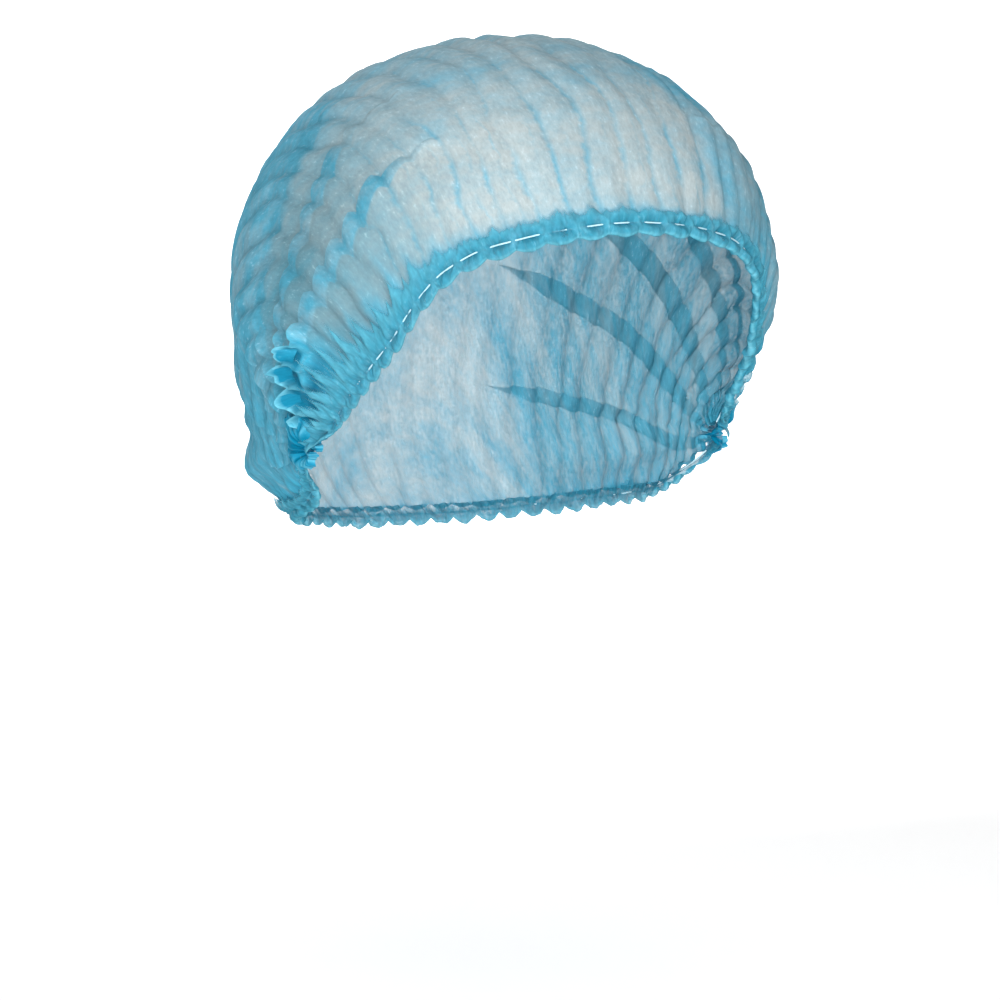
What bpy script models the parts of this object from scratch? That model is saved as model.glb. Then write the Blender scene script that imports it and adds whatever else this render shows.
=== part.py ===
"""Disposable hair cap: a pleated nonwoven crown gathered at both ears, with ruffled elastic hems.

Metres, +Z up, the wearer looks along -Y. The origin is where the crown rests on top of the head.
The cap is described about the ear line, which runs along X through both gathers. A point of it has
a station from 0, at the right gather, to 1, at the left one, and an angle round the ear line:
0 straight ahead, 90 straight up and 180 straight back.
"""

import math
from collections import namedtuple

import bmesh
import bpy
import numpy as np
from mathutils import Vector

# Driving dimensions
CLOTH_WALL = 0.0010          # nonwoven, with its fine crinkle, as one wall
CROWN_REACH = 0.1325         # from the ear line up to the outside of the crown
CROWN_HALF_WIDTH = 0.0920    # from the middle to the fullest part of one side
GATHER_SINK = 0.0175         # how far an ear gather is drawn in from the fullest part of its side
GATHER_RADIUS = 0.0072       # of the bunched cloth at each ear
GATHER_HEIGHT = 0.0072       # of the bunched cloth, along the ear line
GATHER_RISE = 0.0018         # how far its middle stands outside the cloth round it
GATHER_FLUTE = 0.0011        # depth of the flutes round the bunch
DIMPLE_REACH = 0.10          # share of the way to the other ear over which a side draws in
TEMPLE_DRAW = 0.04           # share by which the front elastic draws the temples in
TEMPLE_SPREAD = 13.0         # degrees above the front elastic that it draws in
RIB_DEPTH = 0.0016           # of the scalloped ribs that run from front to back
LAP_STEP = 0.0011            # rise of one pleat over the one behind it, at its fold
LAP_RUN = 0.0018             # length along the cloth of the step down behind a fold
LAP_SCALLOP = 0.0026         # how far a fold line shifts back on each rib
FAN_DEPTH = 0.0026           # of the pleats where they close up round a gather
FAN_REACH = 0.085            # share of the way to the other ear that they stay deep
HEM_ABOVE = 0.0050           # hem cloth above the elastic
HEM_BELOW = 0.0045           # ruffle below the elastic
HEM_PUFF = 0.0016            # how far the hem swells out above and below the elastic
HEM_WAIST = 0.0006           # how far the elastic pulls the hem in
HEM_SWELL_AT = 0.45          # share of the way to the hem's top edge where it swells most
RUFFLE_DEPTH = 0.0020        # of the waves along the ruffle's free edge
HEM_NARROWING = 0.40         # share of the hem's height that is lost at the gathers
ELASTIC_RADIUS = 0.0005
ELASTIC_EAR_RISE = 0.0010    # how far it rides up on the bunched hem beside a gather
GAP = 0.0003                 # between pieces that touch

# Counts
RIB_COUNT = 36               # ribs from ear to ear, an even number
GATHER_FLUTES = 9
ELASTIC_SIDES_RESOLUTION = 1

# Shape of the crown: reach is a share of CROWN_REACH, half_width of CROWN_HALF_WIDTH
Section = namedtuple("Section", "angle reach half_width squareness")
SECTIONS = (
    Section(angle=30.0, reach=0.815, half_width=0.728, squareness=1.90),
    Section(angle=60.0, reach=0.958, half_width=0.957, squareness=2.25),
    Section(angle=90.0, reach=1.000, half_width=0.978, squareness=2.40),
    Section(angle=120.0, reach=1.000, half_width=1.000, squareness=2.50),
    Section(angle=150.0, reach=0.958, half_width=0.913, squareness=2.40),
    Section(angle=180.0, reach=0.845, half_width=0.859, squareness=2.30),
    Section(angle=207.0, reach=0.649, half_width=0.804, squareness=2.10),
    Section(angle=235.0, reach=0.460, half_width=0.674, squareness=1.95),
)

# Angles of the two elastics, from beside the ears (middle=0) to the middle of the head (middle=1)
HemRow = namedtuple("HemRow", "middle front back")
HEM_LINE = (
    HemRow(middle=0.00, front=34.5, back=237.0),
    HemRow(middle=0.35, front=39.3, back=222.5),
    HemRow(middle=0.65, front=40.6, back=207.0),
    HemRow(middle=0.88, front=44.0, back=201.5),
    HemRow(middle=1.00, front=40.7, back=199.8),
)

# Swells and hollows of the cloth behind each ear: where they lie, how far they reach and their lift
Swell = namedtuple("Swell", "station angle station_reach angle_reach lift")
SWELLS = (
    Swell(station=0.24, angle=174.0, station_reach=0.09, angle_reach=7.0, lift=-0.0025),
    Swell(station=0.24, angle=190.0, station_reach=0.09, angle_reach=7.5, lift=0.0038),
)

# Fold lines of the accordion pleats, as shares of the way from the front elastic to the back one
PLEAT_LINES = (0.13, 0.24, 0.35, 0.46, 0.58, 0.70, 0.84)

EAR_LINE_Z = -(CROWN_REACH - RIB_DEPTH - CLOTH_WALL)
GATHER_HALF_WIDTH = CROWN_HALF_WIDTH - GATHER_SINK
TINY = 1e-4

# Places of a crown row on its pleat
PANEL, FOLD_EDGE, TUCKED = "panel", "fold_edge", "tucked"


def smooth_value(knots, values, where):
    """Read a smooth curve through the points of a table column."""
    knots = np.asarray(knots, dtype=float)
    values = np.asarray(values, dtype=float)
    where = min(max(where, knots[0]), knots[-1])
    left = min(int(np.searchsorted(knots, where, side="right")) - 1, len(knots) - 2)
    span = knots[left + 1] - knots[left]
    t = (where - knots[left]) / span
    slopes = np.gradient(values, knots) * span
    start = (2 * t**3 - 3 * t**2 + 1) * values[left] + (t**3 - 2 * t**2 + t) * slopes[left]
    end = (3 * t**2 - 2 * t**3) * values[left + 1] + (t**3 - t**2) * slopes[left + 1]
    return float(start + end)


def section_value(column, angle):
    """Read one column of the section table at an angle round the ear line."""
    angles = [row.angle for row in SECTIONS]
    return smooth_value(angles, [getattr(row, column) for row in SECTIONS], angle)


def elastic_angle(station, side):
    """Give the angle of the front or back elastic at a station."""
    middles = [row.middle for row in HEM_LINE]
    angles = [getattr(row, side) for row in HEM_LINE]
    return smooth_value(middles, angles, math.sin(math.pi * station))


def ear_distance(station):
    """Give the share of the way from the nearer gather."""
    return min(station, 1.0 - station)


def ear_closeness(station):
    """Give 1 at a gather, falling smoothly to 0 past the dimple round it."""
    return math.exp(-((ear_distance(station) / DIMPLE_REACH) ** 2))


def base_point(station, angle):
    """Give a point of the cap's outside, without ribs, pleats or ruffles."""
    turn = math.pi * station
    reach = CROWN_REACH * section_value("reach", angle)
    half_width = CROWN_HALF_WIDTH * section_value("half_width", angle)
    power = section_value("squareness", angle)
    half_width += (GATHER_HALF_WIDTH - half_width) * ear_closeness(station)
    across = (abs(math.cos(turn)) / half_width) ** power
    along = (abs(math.sin(turn)) / reach) ** power
    distance = (across + along) ** (-1.0 / power)
    above_elastic = (angle - elastic_angle(station, "front")) / TEMPLE_SPREAD
    sideways = 1.0 - math.sin(turn) ** 2
    draw = 1.0 - TEMPLE_DRAW * sideways * math.exp(-(above_elastic**2))
    radial = distance * math.sin(turn)
    forward = radial * math.cos(math.radians(angle))
    upward = radial * math.sin(math.radians(angle))
    return Vector((-distance * math.cos(turn) * draw, -forward, EAR_LINE_Z + upward))


def angle_slope(station, angle):
    """Give the change of the base point for one degree."""
    return (base_point(station, angle + 0.5) - base_point(station, angle - 0.5))


def outward(station, angle):
    """Give the unit normal of the base shape, pointing away from the head."""
    step = min(0.004, 0.5 * station, 0.5 * (1.0 - station))
    along = base_point(station + step, angle) - base_point(station - step, angle)
    normal = along.cross(angle_slope(station, angle))
    normal.normalize()
    centre = Vector((0.0, 0.0, EAR_LINE_Z))
    return normal if normal.dot(base_point(station, angle) - centre) > 0 else -normal


def lifted_point(station, angle, lift):
    """Give a base point moved out of the surface by a lift."""
    return base_point(station, angle) + outward(station, angle) * lift


def rib_wave(station):
    """Give 0 in the groove between two ribs and 1 on top of a rib."""
    return abs(math.sin(math.pi * station * RIB_COUNT))


def rib_lift(station):
    """Give the lift of the ribs, which flatten out beside the gathers."""
    fade = min(1.0, ear_distance(station) / DIMPLE_REACH)
    return -RIB_DEPTH * fade * (1.0 - rib_wave(station))


def hem_height(station, height):
    """Narrow a height of the hem towards the gathers."""
    return height * (1.0 - HEM_NARROWING * ear_closeness(station))


def hem_angle(station, side, height):
    """Give the angle at a height above the front or back elastic, measured along the cloth."""
    line = elastic_angle(station, side)
    degrees = hem_height(station, height) / angle_slope(station, line).length
    return line + degrees if side == "front" else line - degrees


def pleat_phase(share):
    """Give the pleat's number plus how far through that pleat a share of the way lies."""
    edges = (0.0,) + PLEAT_LINES + (1.0,)
    index = max(i for i in range(len(edges) - 1) if edges[i] <= share + TINY)
    return index + (share - edges[index]) / (edges[index + 1] - edges[index])


def fan_lift(station, share):
    """Give the lift of the pleats that close up round a gather."""
    depth = FAN_DEPTH * math.exp(-((ear_distance(station) / FAN_REACH) ** 2))
    return -depth * 0.5 * (1.0 + math.cos(2.0 * math.pi * pleat_phase(share)))


def swell_lift(station, angle):
    """Give the lift of the swells and hollows behind the ears."""
    total = 0.0
    for swell in SWELLS:
        across = (ear_distance(station) - swell.station) / swell.station_reach
        around = (angle - swell.angle) / swell.angle_reach
        total += swell.lift * math.exp(-(across**2 + around**2))
    return total


def lap_lift(share, place):
    """Give the lift of a pleat over the one behind it, most at its fold."""
    if place == FOLD_EDGE:
        return LAP_STEP
    if place == TUCKED or share > PLEAT_LINES[-1]:
        return 0.0
    return LAP_STEP * (pleat_phase(share) % 1.0) ** 2


def clear_of_gather(station):
    """Tell whether the cloth at a station lies a gap or more outside the gather all the way round."""
    points = [base_point(station, row.angle) for row in SECTIONS]
    nearest = min(math.hypot(point.y, point.z - EAR_LINE_Z) for point in points)
    return nearest > GATHER_RADIUS + GAP


def gather_edge_station():
    """Find the station where the cloth meets a gather, a gap away from it."""
    inside, outside = 0.0, 0.25
    for _ in range(20):
        middle = 0.5 * (inside + outside)
        if clear_of_gather(middle):
            outside = middle
        else:
            inside = middle
    return outside


def half_stations():
    """List the stations of one half: the gather's edge, then each groove and each rib's top."""
    first = gather_edge_station()
    steps = [index / (2.0 * RIB_COUNT) for index in range(RIB_COUNT + 1)]
    least = 0.5 * steps[1]
    return [first] + [step for step in steps if step > first + least]


def crown_rows():
    """List the crown's rows from front to back, as (share, place) with two at each fold."""
    edges = (0.0,) + PLEAT_LINES + (1.0,)
    rows = [(0.0, PANEL)]
    for start, end in zip(edges[:-1], edges[1:]):
        rows.append((0.5 * (start + end), PANEL))
        if end < 1.0:
            rows.append((end, FOLD_EDGE))
            rows.append((end, TUCKED))
    rows.append((1.0, PANEL))
    return rows


def crown_point(station, share, place):
    """Give a point of the crown's outside."""
    front = hem_angle(station, "front", HEM_ABOVE)
    back = hem_angle(station, "back", HEM_ABOVE)
    angle = front + (back - front) * share
    if place != PANEL:
        shift = LAP_SCALLOP * rib_wave(station)
        if place == TUCKED:
            shift += LAP_RUN
        fade = min(1.0, ear_distance(station) / FAN_REACH)
        angle += fade * shift / angle_slope(station, angle).length
    lift = rib_lift(station) + fan_lift(station, share) + lap_lift(share, place)
    return lifted_point(station, angle, lift + swell_lift(station, angle))


def make_material(name, colour, roughness):
    """Make the plain finish of a piece."""
    material = bpy.data.materials.new(name)
    material.use_nodes = True
    shader = material.node_tree.nodes["Principled BSDF"]
    shader.inputs["Base Color"].default_value = (*colour, 1.0)
    shader.inputs["Roughness"].default_value = roughness
    shader.inputs["Metallic"].default_value = 0.0
    return material


def add_object(name, data, collection, material):
    """Put a mesh or curve in the cap's collection with its material."""
    item = bpy.data.objects.new(name, data)
    data.materials.append(material)
    collection.objects.link(item)
    return item


def cloth_strip(name, point_rows, collection, material):
    """Make half a strip of cloth from rows of points, then mirror it and give it its wall."""
    row_count = len(point_rows)
    column_count = len(point_rows[0])
    strip = bmesh.new()
    bmesh.ops.create_grid(strip, x_segments=column_count - 1, y_segments=row_count - 1, size=1.0)
    for vertex in strip.verts:
        column = round((vertex.co.x + 1.0) * 0.5 * (column_count - 1))
        row = round((vertex.co.y + 1.0) * 0.5 * (row_count - 1))
        vertex.co = point_rows[row][column]
    strip.normal_update()
    centre = Vector((0.0, 0.0, EAR_LINE_Z))
    facing = sum(face.normal.dot(face.calc_center_median() - centre) for face in strip.faces)
    if facing < 0.0:
        bmesh.ops.reverse_faces(strip, faces=strip.faces)
    mesh = bpy.data.meshes.new(name)
    strip.to_mesh(mesh)
    strip.free()
    item = add_object(name, mesh, collection, material)
    mirror = item.modifiers.new("both_sides", "MIRROR")
    mirror.merge_threshold = 0.00001
    wall = item.modifiers.new("cloth_wall", "SOLIDIFY")
    wall.thickness = CLOTH_WALL
    wall.offset = -1.0
    return item


def make_crown(collection):
    """Make the pleated and ribbed crown."""
    material = make_material("sky_blue_nonwoven", (0.36, 0.66, 0.76), 0.75)
    points = [[crown_point(s, share, place) for s in half_stations()] for share, place in crown_rows()]
    return cloth_strip("crown", points, collection, material)


def hem_rows():
    """List the rows of a hem, from its top edge down: height, swelling and depth of its waves."""
    HemLoop = namedtuple("HemLoop", "height swelling waves")
    return (
        HemLoop(height=HEM_ABOVE - GAP, swelling=0.0, waves=RIB_DEPTH),
        HemLoop(height=HEM_SWELL_AT * HEM_ABOVE, swelling=HEM_PUFF, waves=RIB_DEPTH),
        HemLoop(height=0.0, swelling=-HEM_WAIST, waves=0.0),
        HemLoop(height=-0.55 * HEM_BELOW, swelling=HEM_PUFF, waves=0.5 * RUFFLE_DEPTH),
        HemLoop(height=-HEM_BELOW, swelling=0.5 * HEM_PUFF, waves=RUFFLE_DEPTH),
    )


def make_hem(name, side, collection):
    """Make the ruffled cloth edge round one elastic."""
    material = make_material(name + "_nonwoven", (0.13, 0.58, 0.78), 0.75)
    points = []
    for loop in hem_rows():
        row = []
        for station in half_stations():
            fade = min(1.0, ear_distance(station) / DIMPLE_REACH)
            lift = loop.swelling * fade - loop.waves * fade * (1.0 - rib_wave(station))
            if loop.height > 0.0:
                share = 0.0 if side == "front" else 1.0
                lift += fan_lift(station, share) * (loop.height / HEM_ABOVE) ** 2
            row.append(lifted_point(station, hem_angle(station, side, loop.height), lift))
        points.append(row)
    return cloth_strip(name, points, collection, material)


def elastic_seat():
    """Give the lift of an elastic's centre over the waist, a gap clear of the hem's flanks."""
    flank = math.atan((HEM_WAIST + HEM_PUFF) / (HEM_SWELL_AT * HEM_ABOVE))
    return (ELASTIC_RADIUS + GAP) / math.cos(flank)


def make_elastic(name, side, collection):
    """Make the elastic thread that lies in the waist of a hem, from gather to gather."""
    half = half_stations()
    stations = half + [1.0 - station for station in reversed(half[:-1])]
    route = []
    for station in stations:
        fade = min(1.0, ear_distance(station) / DIMPLE_REACH)
        lift = elastic_seat() - HEM_WAIST * fade + ELASTIC_EAR_RISE * ear_closeness(station)
        route.append(lifted_point(station, elastic_angle(station, side), lift))
    curve = bpy.data.curves.new(name, "CURVE")
    curve.dimensions = "3D"
    curve.bevel_depth = ELASTIC_RADIUS
    curve.bevel_resolution = ELASTIC_SIDES_RESOLUTION
    curve.use_fill_caps = True
    spline = curve.splines.new("POLY")
    spline.points.add(len(route) - 1)
    for point, place in zip(spline.points, route):
        point.co = (*place, 1.0)
    material = make_material(name + "_white", (0.86, 0.90, 0.92), 0.55)
    return add_object(name, curve, collection, material)


def make_gather(name, side_sign, collection):
    """Make the bunch of cloth that closes the pleats at one ear."""
    bunch = bmesh.new()
    bmesh.ops.create_uvsphere(bunch, u_segments=3 * GATHER_FLUTES, v_segments=8, radius=1.0)
    for vertex in bunch.verts:
        turn = math.atan2(vertex.co.y, vertex.co.x)
        flute = 0.5 * (1.0 - math.cos(GATHER_FLUTES * turn)) * GATHER_FLUTE
        radius = (GATHER_RADIUS - flute) * math.hypot(vertex.co.x, vertex.co.y)
        height = 0.5 * GATHER_HEIGHT * vertex.co.z + GATHER_RISE
        vertex.co = Vector((
            side_sign * (GATHER_HALF_WIDTH + height),
            side_sign * radius * math.sin(turn),
            EAR_LINE_Z + radius * math.cos(turn),
        ))
    bunch.normal_update()
    bmesh.ops.recalc_face_normals(bunch, faces=bunch.faces)
    mesh = bpy.data.meshes.new(name)
    bunch.to_mesh(mesh)
    bunch.free()
    mesh.shade_smooth()
    material = make_material(name + "_nonwoven", (0.01, 0.40, 0.62), 0.75)
    return add_object(name, mesh, collection, material)


def main():
    """Clear the scene and make the cap's pieces."""
    for item in list(bpy.data.objects):
        bpy.data.objects.remove(item, do_unlink=True)
    collection = bpy.data.collections.new("disposable_hair_cap")
    bpy.context.scene.collection.children.link(collection)
    make_crown(collection)
    make_hem("hem_front", "front", collection)
    make_hem("hem_back", "back", collection)
    make_elastic("elastic_front", "front", collection)
    make_elastic("elastic_back", "back", collection)
    make_gather("gather_right", -1.0, collection)
    make_gather("gather_left", 1.0, collection)


main()
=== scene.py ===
"""Looks of the pleated disposable hair cap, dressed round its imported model.

Metres, +Z up, the front of the cap faces -Y. A point of the cap has a station from 0, at the right
gather, to 1, at the left one, and an angle round the ear line that joins the gathers: 0 straight
ahead, 90 straight up and 180 straight back. Ribs are counted by a rib number that grows with the
station, whole in the grooves and halfway between them on top of a rib.
"""

import logging
import math
from dataclasses import dataclass, field
from enum import Enum, IntEnum

import bmesh
import bpy
import numpy as np
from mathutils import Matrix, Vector


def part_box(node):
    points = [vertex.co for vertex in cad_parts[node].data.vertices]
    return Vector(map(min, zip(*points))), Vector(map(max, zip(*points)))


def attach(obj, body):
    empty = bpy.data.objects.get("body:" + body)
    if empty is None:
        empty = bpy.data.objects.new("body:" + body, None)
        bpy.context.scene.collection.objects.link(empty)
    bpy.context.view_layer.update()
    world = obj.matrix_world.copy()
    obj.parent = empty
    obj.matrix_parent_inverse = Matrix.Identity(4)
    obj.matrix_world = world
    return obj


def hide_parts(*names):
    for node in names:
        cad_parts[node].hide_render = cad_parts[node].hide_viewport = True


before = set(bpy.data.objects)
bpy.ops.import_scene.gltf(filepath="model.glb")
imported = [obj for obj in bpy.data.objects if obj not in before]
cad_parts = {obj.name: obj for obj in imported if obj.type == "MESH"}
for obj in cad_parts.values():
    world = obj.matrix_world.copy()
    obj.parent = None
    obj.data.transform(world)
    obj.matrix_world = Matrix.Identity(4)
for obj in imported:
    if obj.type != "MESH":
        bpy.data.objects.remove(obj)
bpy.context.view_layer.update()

LOG = logging.getLogger("hair_cap")
RIBS = 36
CROWN_STEPS_PER_RIB = 11
HEM_STEPS_PER_RIB = 22
TINY = 1e-9


class Hem(Enum):
    """The two long edges of the cap."""

    FRONT = "front"
    BACK = "back"


class Ear(Enum):
    """The two gathers, with the sign of their X."""

    RIGHT = -1.0
    LEFT = 1.0


class Grain(IntEnum):
    """The seeds of the random fields, one for each feature."""

    RIB_SWAY = 11
    RIB_QUIVER = 12
    RIB_DEPTH = 13
    LAP_STEP = 20
    LAP_RAGGED = 21
    FAN_CREASE = 22
    FAN_FINE = 23
    RUMPLE = 24
    RUMPLE_FINE = 25
    HEM_GATHER = 26
    FAR_EDGE = 27
    CUP_HEIGHT = 28
    CUP_EDGE = 29
    TOOTH = 31
    FUZZ = 32
    WRINKLE = 33
    WRINKLE_FINE = 34
    WRINKLE_CROSS = 35
    LOBE_SIZE = 36
    TOOTH_SIZE = 37
    THREAD_COVER = 38
    THREAD_SWAY = 41
    THREAD_BOB = 42
    GATHER_RIGHT = 51
    GATHER_LEFT = 61


@dataclass(frozen=True)
class ShapeSection:
    """One row of the crown's shape table; reach and half width are shares of the driving ones."""

    angle: float
    reach: float
    half_width: float
    squareness: float


@dataclass(frozen=True)
class HemRow:
    """Angles of both elastics, from beside the ears (middle 0) to the middle of the cap (middle 1)."""

    middle: float
    front: float
    back: float


@dataclass(frozen=True)
class Swell:
    """A swell or hollow of the cloth behind each ear."""

    station: float
    angle: float
    station_reach: float
    angle_reach: float
    lift: float


@dataclass(frozen=True)
class Pleat:
    """One folded pleat: where it lies, how far its cloth laps and how far it stands up by the ears."""

    share: float
    lap: float
    flare: float


SHAPE = (
    ShapeSection(angle=30.0, reach=0.815, half_width=0.728, squareness=1.90),
    ShapeSection(angle=60.0, reach=0.958, half_width=0.957, squareness=2.25),
    ShapeSection(angle=90.0, reach=1.000, half_width=0.978, squareness=2.40),
    ShapeSection(angle=120.0, reach=1.000, half_width=1.000, squareness=2.50),
    ShapeSection(angle=150.0, reach=0.958, half_width=0.913, squareness=2.40),
    ShapeSection(angle=180.0, reach=0.845, half_width=0.859, squareness=2.30),
    ShapeSection(angle=207.0, reach=0.649, half_width=0.804, squareness=2.10),
    ShapeSection(angle=235.0, reach=0.460, half_width=0.674, squareness=1.95),
)

HEM_LINE = (
    HemRow(middle=0.00, front=34.5, back=237.0),
    HemRow(middle=0.35, front=39.3, back=222.5),
    HemRow(middle=0.65, front=40.6, back=207.0),
    HemRow(middle=0.88, front=44.0, back=201.5),
    HemRow(middle=1.00, front=40.7, back=199.8),
)

SWELLS = (
    Swell(station=0.24, angle=171.0, station_reach=0.09, angle_reach=4.5, lift=-0.0022),
    Swell(station=0.24, angle=179.5, station_reach=0.09, angle_reach=3.0, lift=-0.0020),
    Swell(station=0.24, angle=189.5, station_reach=0.09, angle_reach=6.0, lift=0.0040),
)

PLEATS = (
    Pleat(share=0.13, lap=0.0080, flare=1.00),
    Pleat(share=0.24, lap=0.0095, flare=0.32),
    Pleat(share=0.35, lap=0.0125, flare=0.12),
    Pleat(share=0.46, lap=0.0100, flare=0.10),
    Pleat(share=0.58, lap=0.0090, flare=0.10),
    Pleat(share=0.70, lap=0.0080, flare=0.10),
    Pleat(share=0.84, lap=0.0060, flare=0.10),
)


def smooth_curve(knots: list[float], values: list[float], where: np.ndarray) -> np.ndarray:
    """Read a smooth curve through the points of a table column.

    Args:
        knots: Places of the points, rising.
        values: Values at those places.
        where: Places to read at; past the ends the end value holds.

    Returns:
        The values read, in the shape of where.
    """
    places = np.asarray(knots, dtype=float)
    heights = np.asarray(values, dtype=float)
    where = np.clip(where, places[0], places[-1])
    left = np.clip(np.searchsorted(places, where, side="right") - 1, 0, len(places) - 2)
    span = np.diff(places)[left]
    slopes = np.gradient(heights, places)
    t = (where - places[left]) / span
    start = (2 * t**3 - 3 * t**2 + 1) * heights[left] + (t**3 - 2 * t**2 + t) * slopes[left] * span
    end = (3 * t**2 - 2 * t**3) * heights[left + 1] + (t**3 - t**2) * slopes[left + 1] * span
    return start + end


def ease(low: float, high: float, where: np.ndarray) -> np.ndarray:
    """Rise smoothly from 0 at low to 1 at high."""
    t = np.clip((where - low) / (high - low), 0.0, 1.0)
    return t * t * (3.0 - 2.0 * t)


def bell(where: np.ndarray, middle: float, reach: float) -> np.ndarray:
    """Give 1 at the middle, falling smoothly to 0 past its reach."""
    return np.exp(-(((where - middle) / reach) ** 2))


def saw_tooth(number: np.ndarray) -> np.ndarray:
    """Give 0 at whole numbers, and 1 halfway between them, with straight flanks."""
    return 1.0 - np.abs(2.0 * np.mod(number, 1.0) - 1.0)


def add_object(name: str, data: bpy.types.ID) -> bpy.types.Object:
    """Add an object to the scene.

    Args:
        name: Its name.
        data: The mesh, curve, light or camera that it shows.

    Returns:
        The object, at the origin.
    """
    item = bpy.data.objects.new(name, data)
    bpy.context.scene.collection.objects.link(item)
    return item


@dataclass(frozen=True)
class Crumple:
    """Smooth seeded noise over two coordinates, between -1 and 1."""

    seed: Grain
    cells: int = 97

    def at(self, across: np.ndarray, along: np.ndarray) -> np.ndarray:
        """Read the noise.

        Args:
            across: First coordinate, in cells.
            along: Second coordinate, in cells.

        Returns:
            The noise, in the shape that the coordinates broadcast to.
        """
        table = np.random.default_rng(int(self.seed)).uniform(-1.0, 1.0, (self.cells, self.cells))
        across, along = np.broadcast_arrays(across, along)
        column = np.floor(across).astype(int)
        row = np.floor(along).astype(int)
        u = ease(0.0, 1.0, across - column)
        v = ease(0.0, 1.0, along - row)
        left, right = column % self.cells, (column + 1) % self.cells
        low, high = row % self.cells, (row + 1) % self.cells
        near = table[left, low] * (1.0 - u) + table[right, low] * u
        far = table[left, high] * (1.0 - u) + table[right, high] * u
        return near * (1.0 - v) + far * v


@dataclass(frozen=True)
class CapShape:
    """The smooth shape under ribs and pleats, the same as the model's, sized from its boxes."""

    ear_line_z: float
    reach: float
    half_width: float
    gather_half_width: float
    gather_radius: float
    dimple_reach: float = 0.10
    temple_draw: float = 0.04
    temple_spread: float = 13.0
    hem_narrowing: float = 0.40
    gap: float = 0.0003

    @classmethod
    def from_frame(cls) -> "CapShape":
        """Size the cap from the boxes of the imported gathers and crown.

        Returns:
            The shape.
        """
        gather_radius, gather_rise = 0.0072, 0.0018
        lap_step, swell_past_gather = 0.0011, 0.0175
        low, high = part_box("gather_left")
        crown_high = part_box("crown")[1]
        gather_half_width = 0.5 * (low.x + high.x) - gather_rise
        ear_line_z = high.z - gather_radius
        return cls(
            ear_line_z=ear_line_z,
            reach=crown_high.z - ear_line_z - lap_step,
            half_width=gather_half_width + swell_past_gather,
            gather_half_width=gather_half_width,
            gather_radius=gather_radius,
        )

    def ear_distance(self, station: np.ndarray) -> np.ndarray:
        """Give the share of the way from the nearer gather."""
        return np.minimum(station, 1.0 - station)

    def ear_closeness(self, station: np.ndarray) -> np.ndarray:
        """Give 1 at a gather, falling smoothly to 0 past the dimple round it."""
        return np.exp(-((self.ear_distance(station) / self.dimple_reach) ** 2))

    def elastic_angle(self, station: np.ndarray, hem: Hem) -> np.ndarray:
        """Give the angle of an elastic at a station."""
        angles = [getattr(row, hem.value) for row in HEM_LINE]
        return smooth_curve([row.middle for row in HEM_LINE], angles, np.sin(np.pi * station))

    def point(self, station: np.ndarray, angle: np.ndarray) -> np.ndarray:
        """Give points of the smooth shape.

        Args:
            station: Stations from the right gather to the left one.
            angle: Angles round the ear line, in degrees.

        Returns:
            The points, with x, y and z on the last axis.
        """
        station, angle = np.broadcast_arrays(station, angle)
        turn = np.pi * station
        angles = [row.angle for row in SHAPE]
        reach = self.reach * smooth_curve(angles, [row.reach for row in SHAPE], angle)
        half_width = self.half_width * smooth_curve(angles, [row.half_width for row in SHAPE], angle)
        power = smooth_curve(angles, [row.squareness for row in SHAPE], angle)
        half_width = half_width + (self.gather_half_width - half_width) * self.ear_closeness(station)
        across = (np.abs(np.cos(turn)) / half_width) ** power
        along = (np.abs(np.sin(turn)) / reach) ** power
        distance = (across + along) ** (-1.0 / power)
        above = (angle - self.elastic_angle(station, Hem.FRONT)) / self.temple_spread
        draw = 1.0 - self.temple_draw * (1.0 - np.sin(turn) ** 2) * np.exp(-(above**2))
        radial = distance * np.sin(turn)
        forward = radial * np.cos(np.radians(angle))
        upward = radial * np.sin(np.radians(angle))
        return np.stack((-distance * np.cos(turn) * draw, -forward, self.ear_line_z + upward), axis=-1)

    def slope(self, station: np.ndarray, angle: np.ndarray) -> np.ndarray:
        """Give the length along the cloth of one degree."""
        return np.linalg.norm(self.point(station, angle + 0.5) - self.point(station, angle - 0.5), axis=-1)

    def lifted(self, station: np.ndarray, angle: np.ndarray, lift: np.ndarray) -> np.ndarray:
        """Give points moved out of the smooth shape by a lift.

        Args:
            station: Stations from the right gather to the left one.
            angle: Angles round the ear line, in degrees.
            lift: Distances out of the surface, in metres.

        Returns:
            The points, with x, y and z on the last axis.
        """
        station, angle = np.broadcast_arrays(station, angle)
        step = np.minimum(0.004, 0.5 * self.ear_distance(station))
        along = self.point(station + step, angle) - self.point(station - step, angle)
        around = self.point(station, angle + 0.5) - self.point(station, angle - 0.5)
        normal = np.cross(along, around)
        normal /= np.maximum(np.linalg.norm(normal, axis=-1, keepdims=True), TINY)
        place = self.point(station, angle)
        facing = np.sum(normal * (place - np.array((0.0, 0.0, self.ear_line_z))), axis=-1, keepdims=True)
        return place + normal * np.sign(facing) * np.broadcast_to(lift, station.shape)[..., None]

    def hem_angle(self, station: np.ndarray, hem: Hem, height: np.ndarray) -> np.ndarray:
        """Give the angle at a height above an elastic, measured along the cloth.

        Args:
            station: Stations from the right gather to the left one.
            hem: The hem that the elastic runs in.
            height: Heights over the elastic, in metres.

        Returns:
            The angles, in degrees.
        """
        line = self.elastic_angle(station, hem)
        narrowed = height * (1.0 - self.hem_narrowing * self.ear_closeness(station))
        degrees = narrowed / self.slope(station, line)
        return line + degrees if hem is Hem.FRONT else line - degrees

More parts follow.
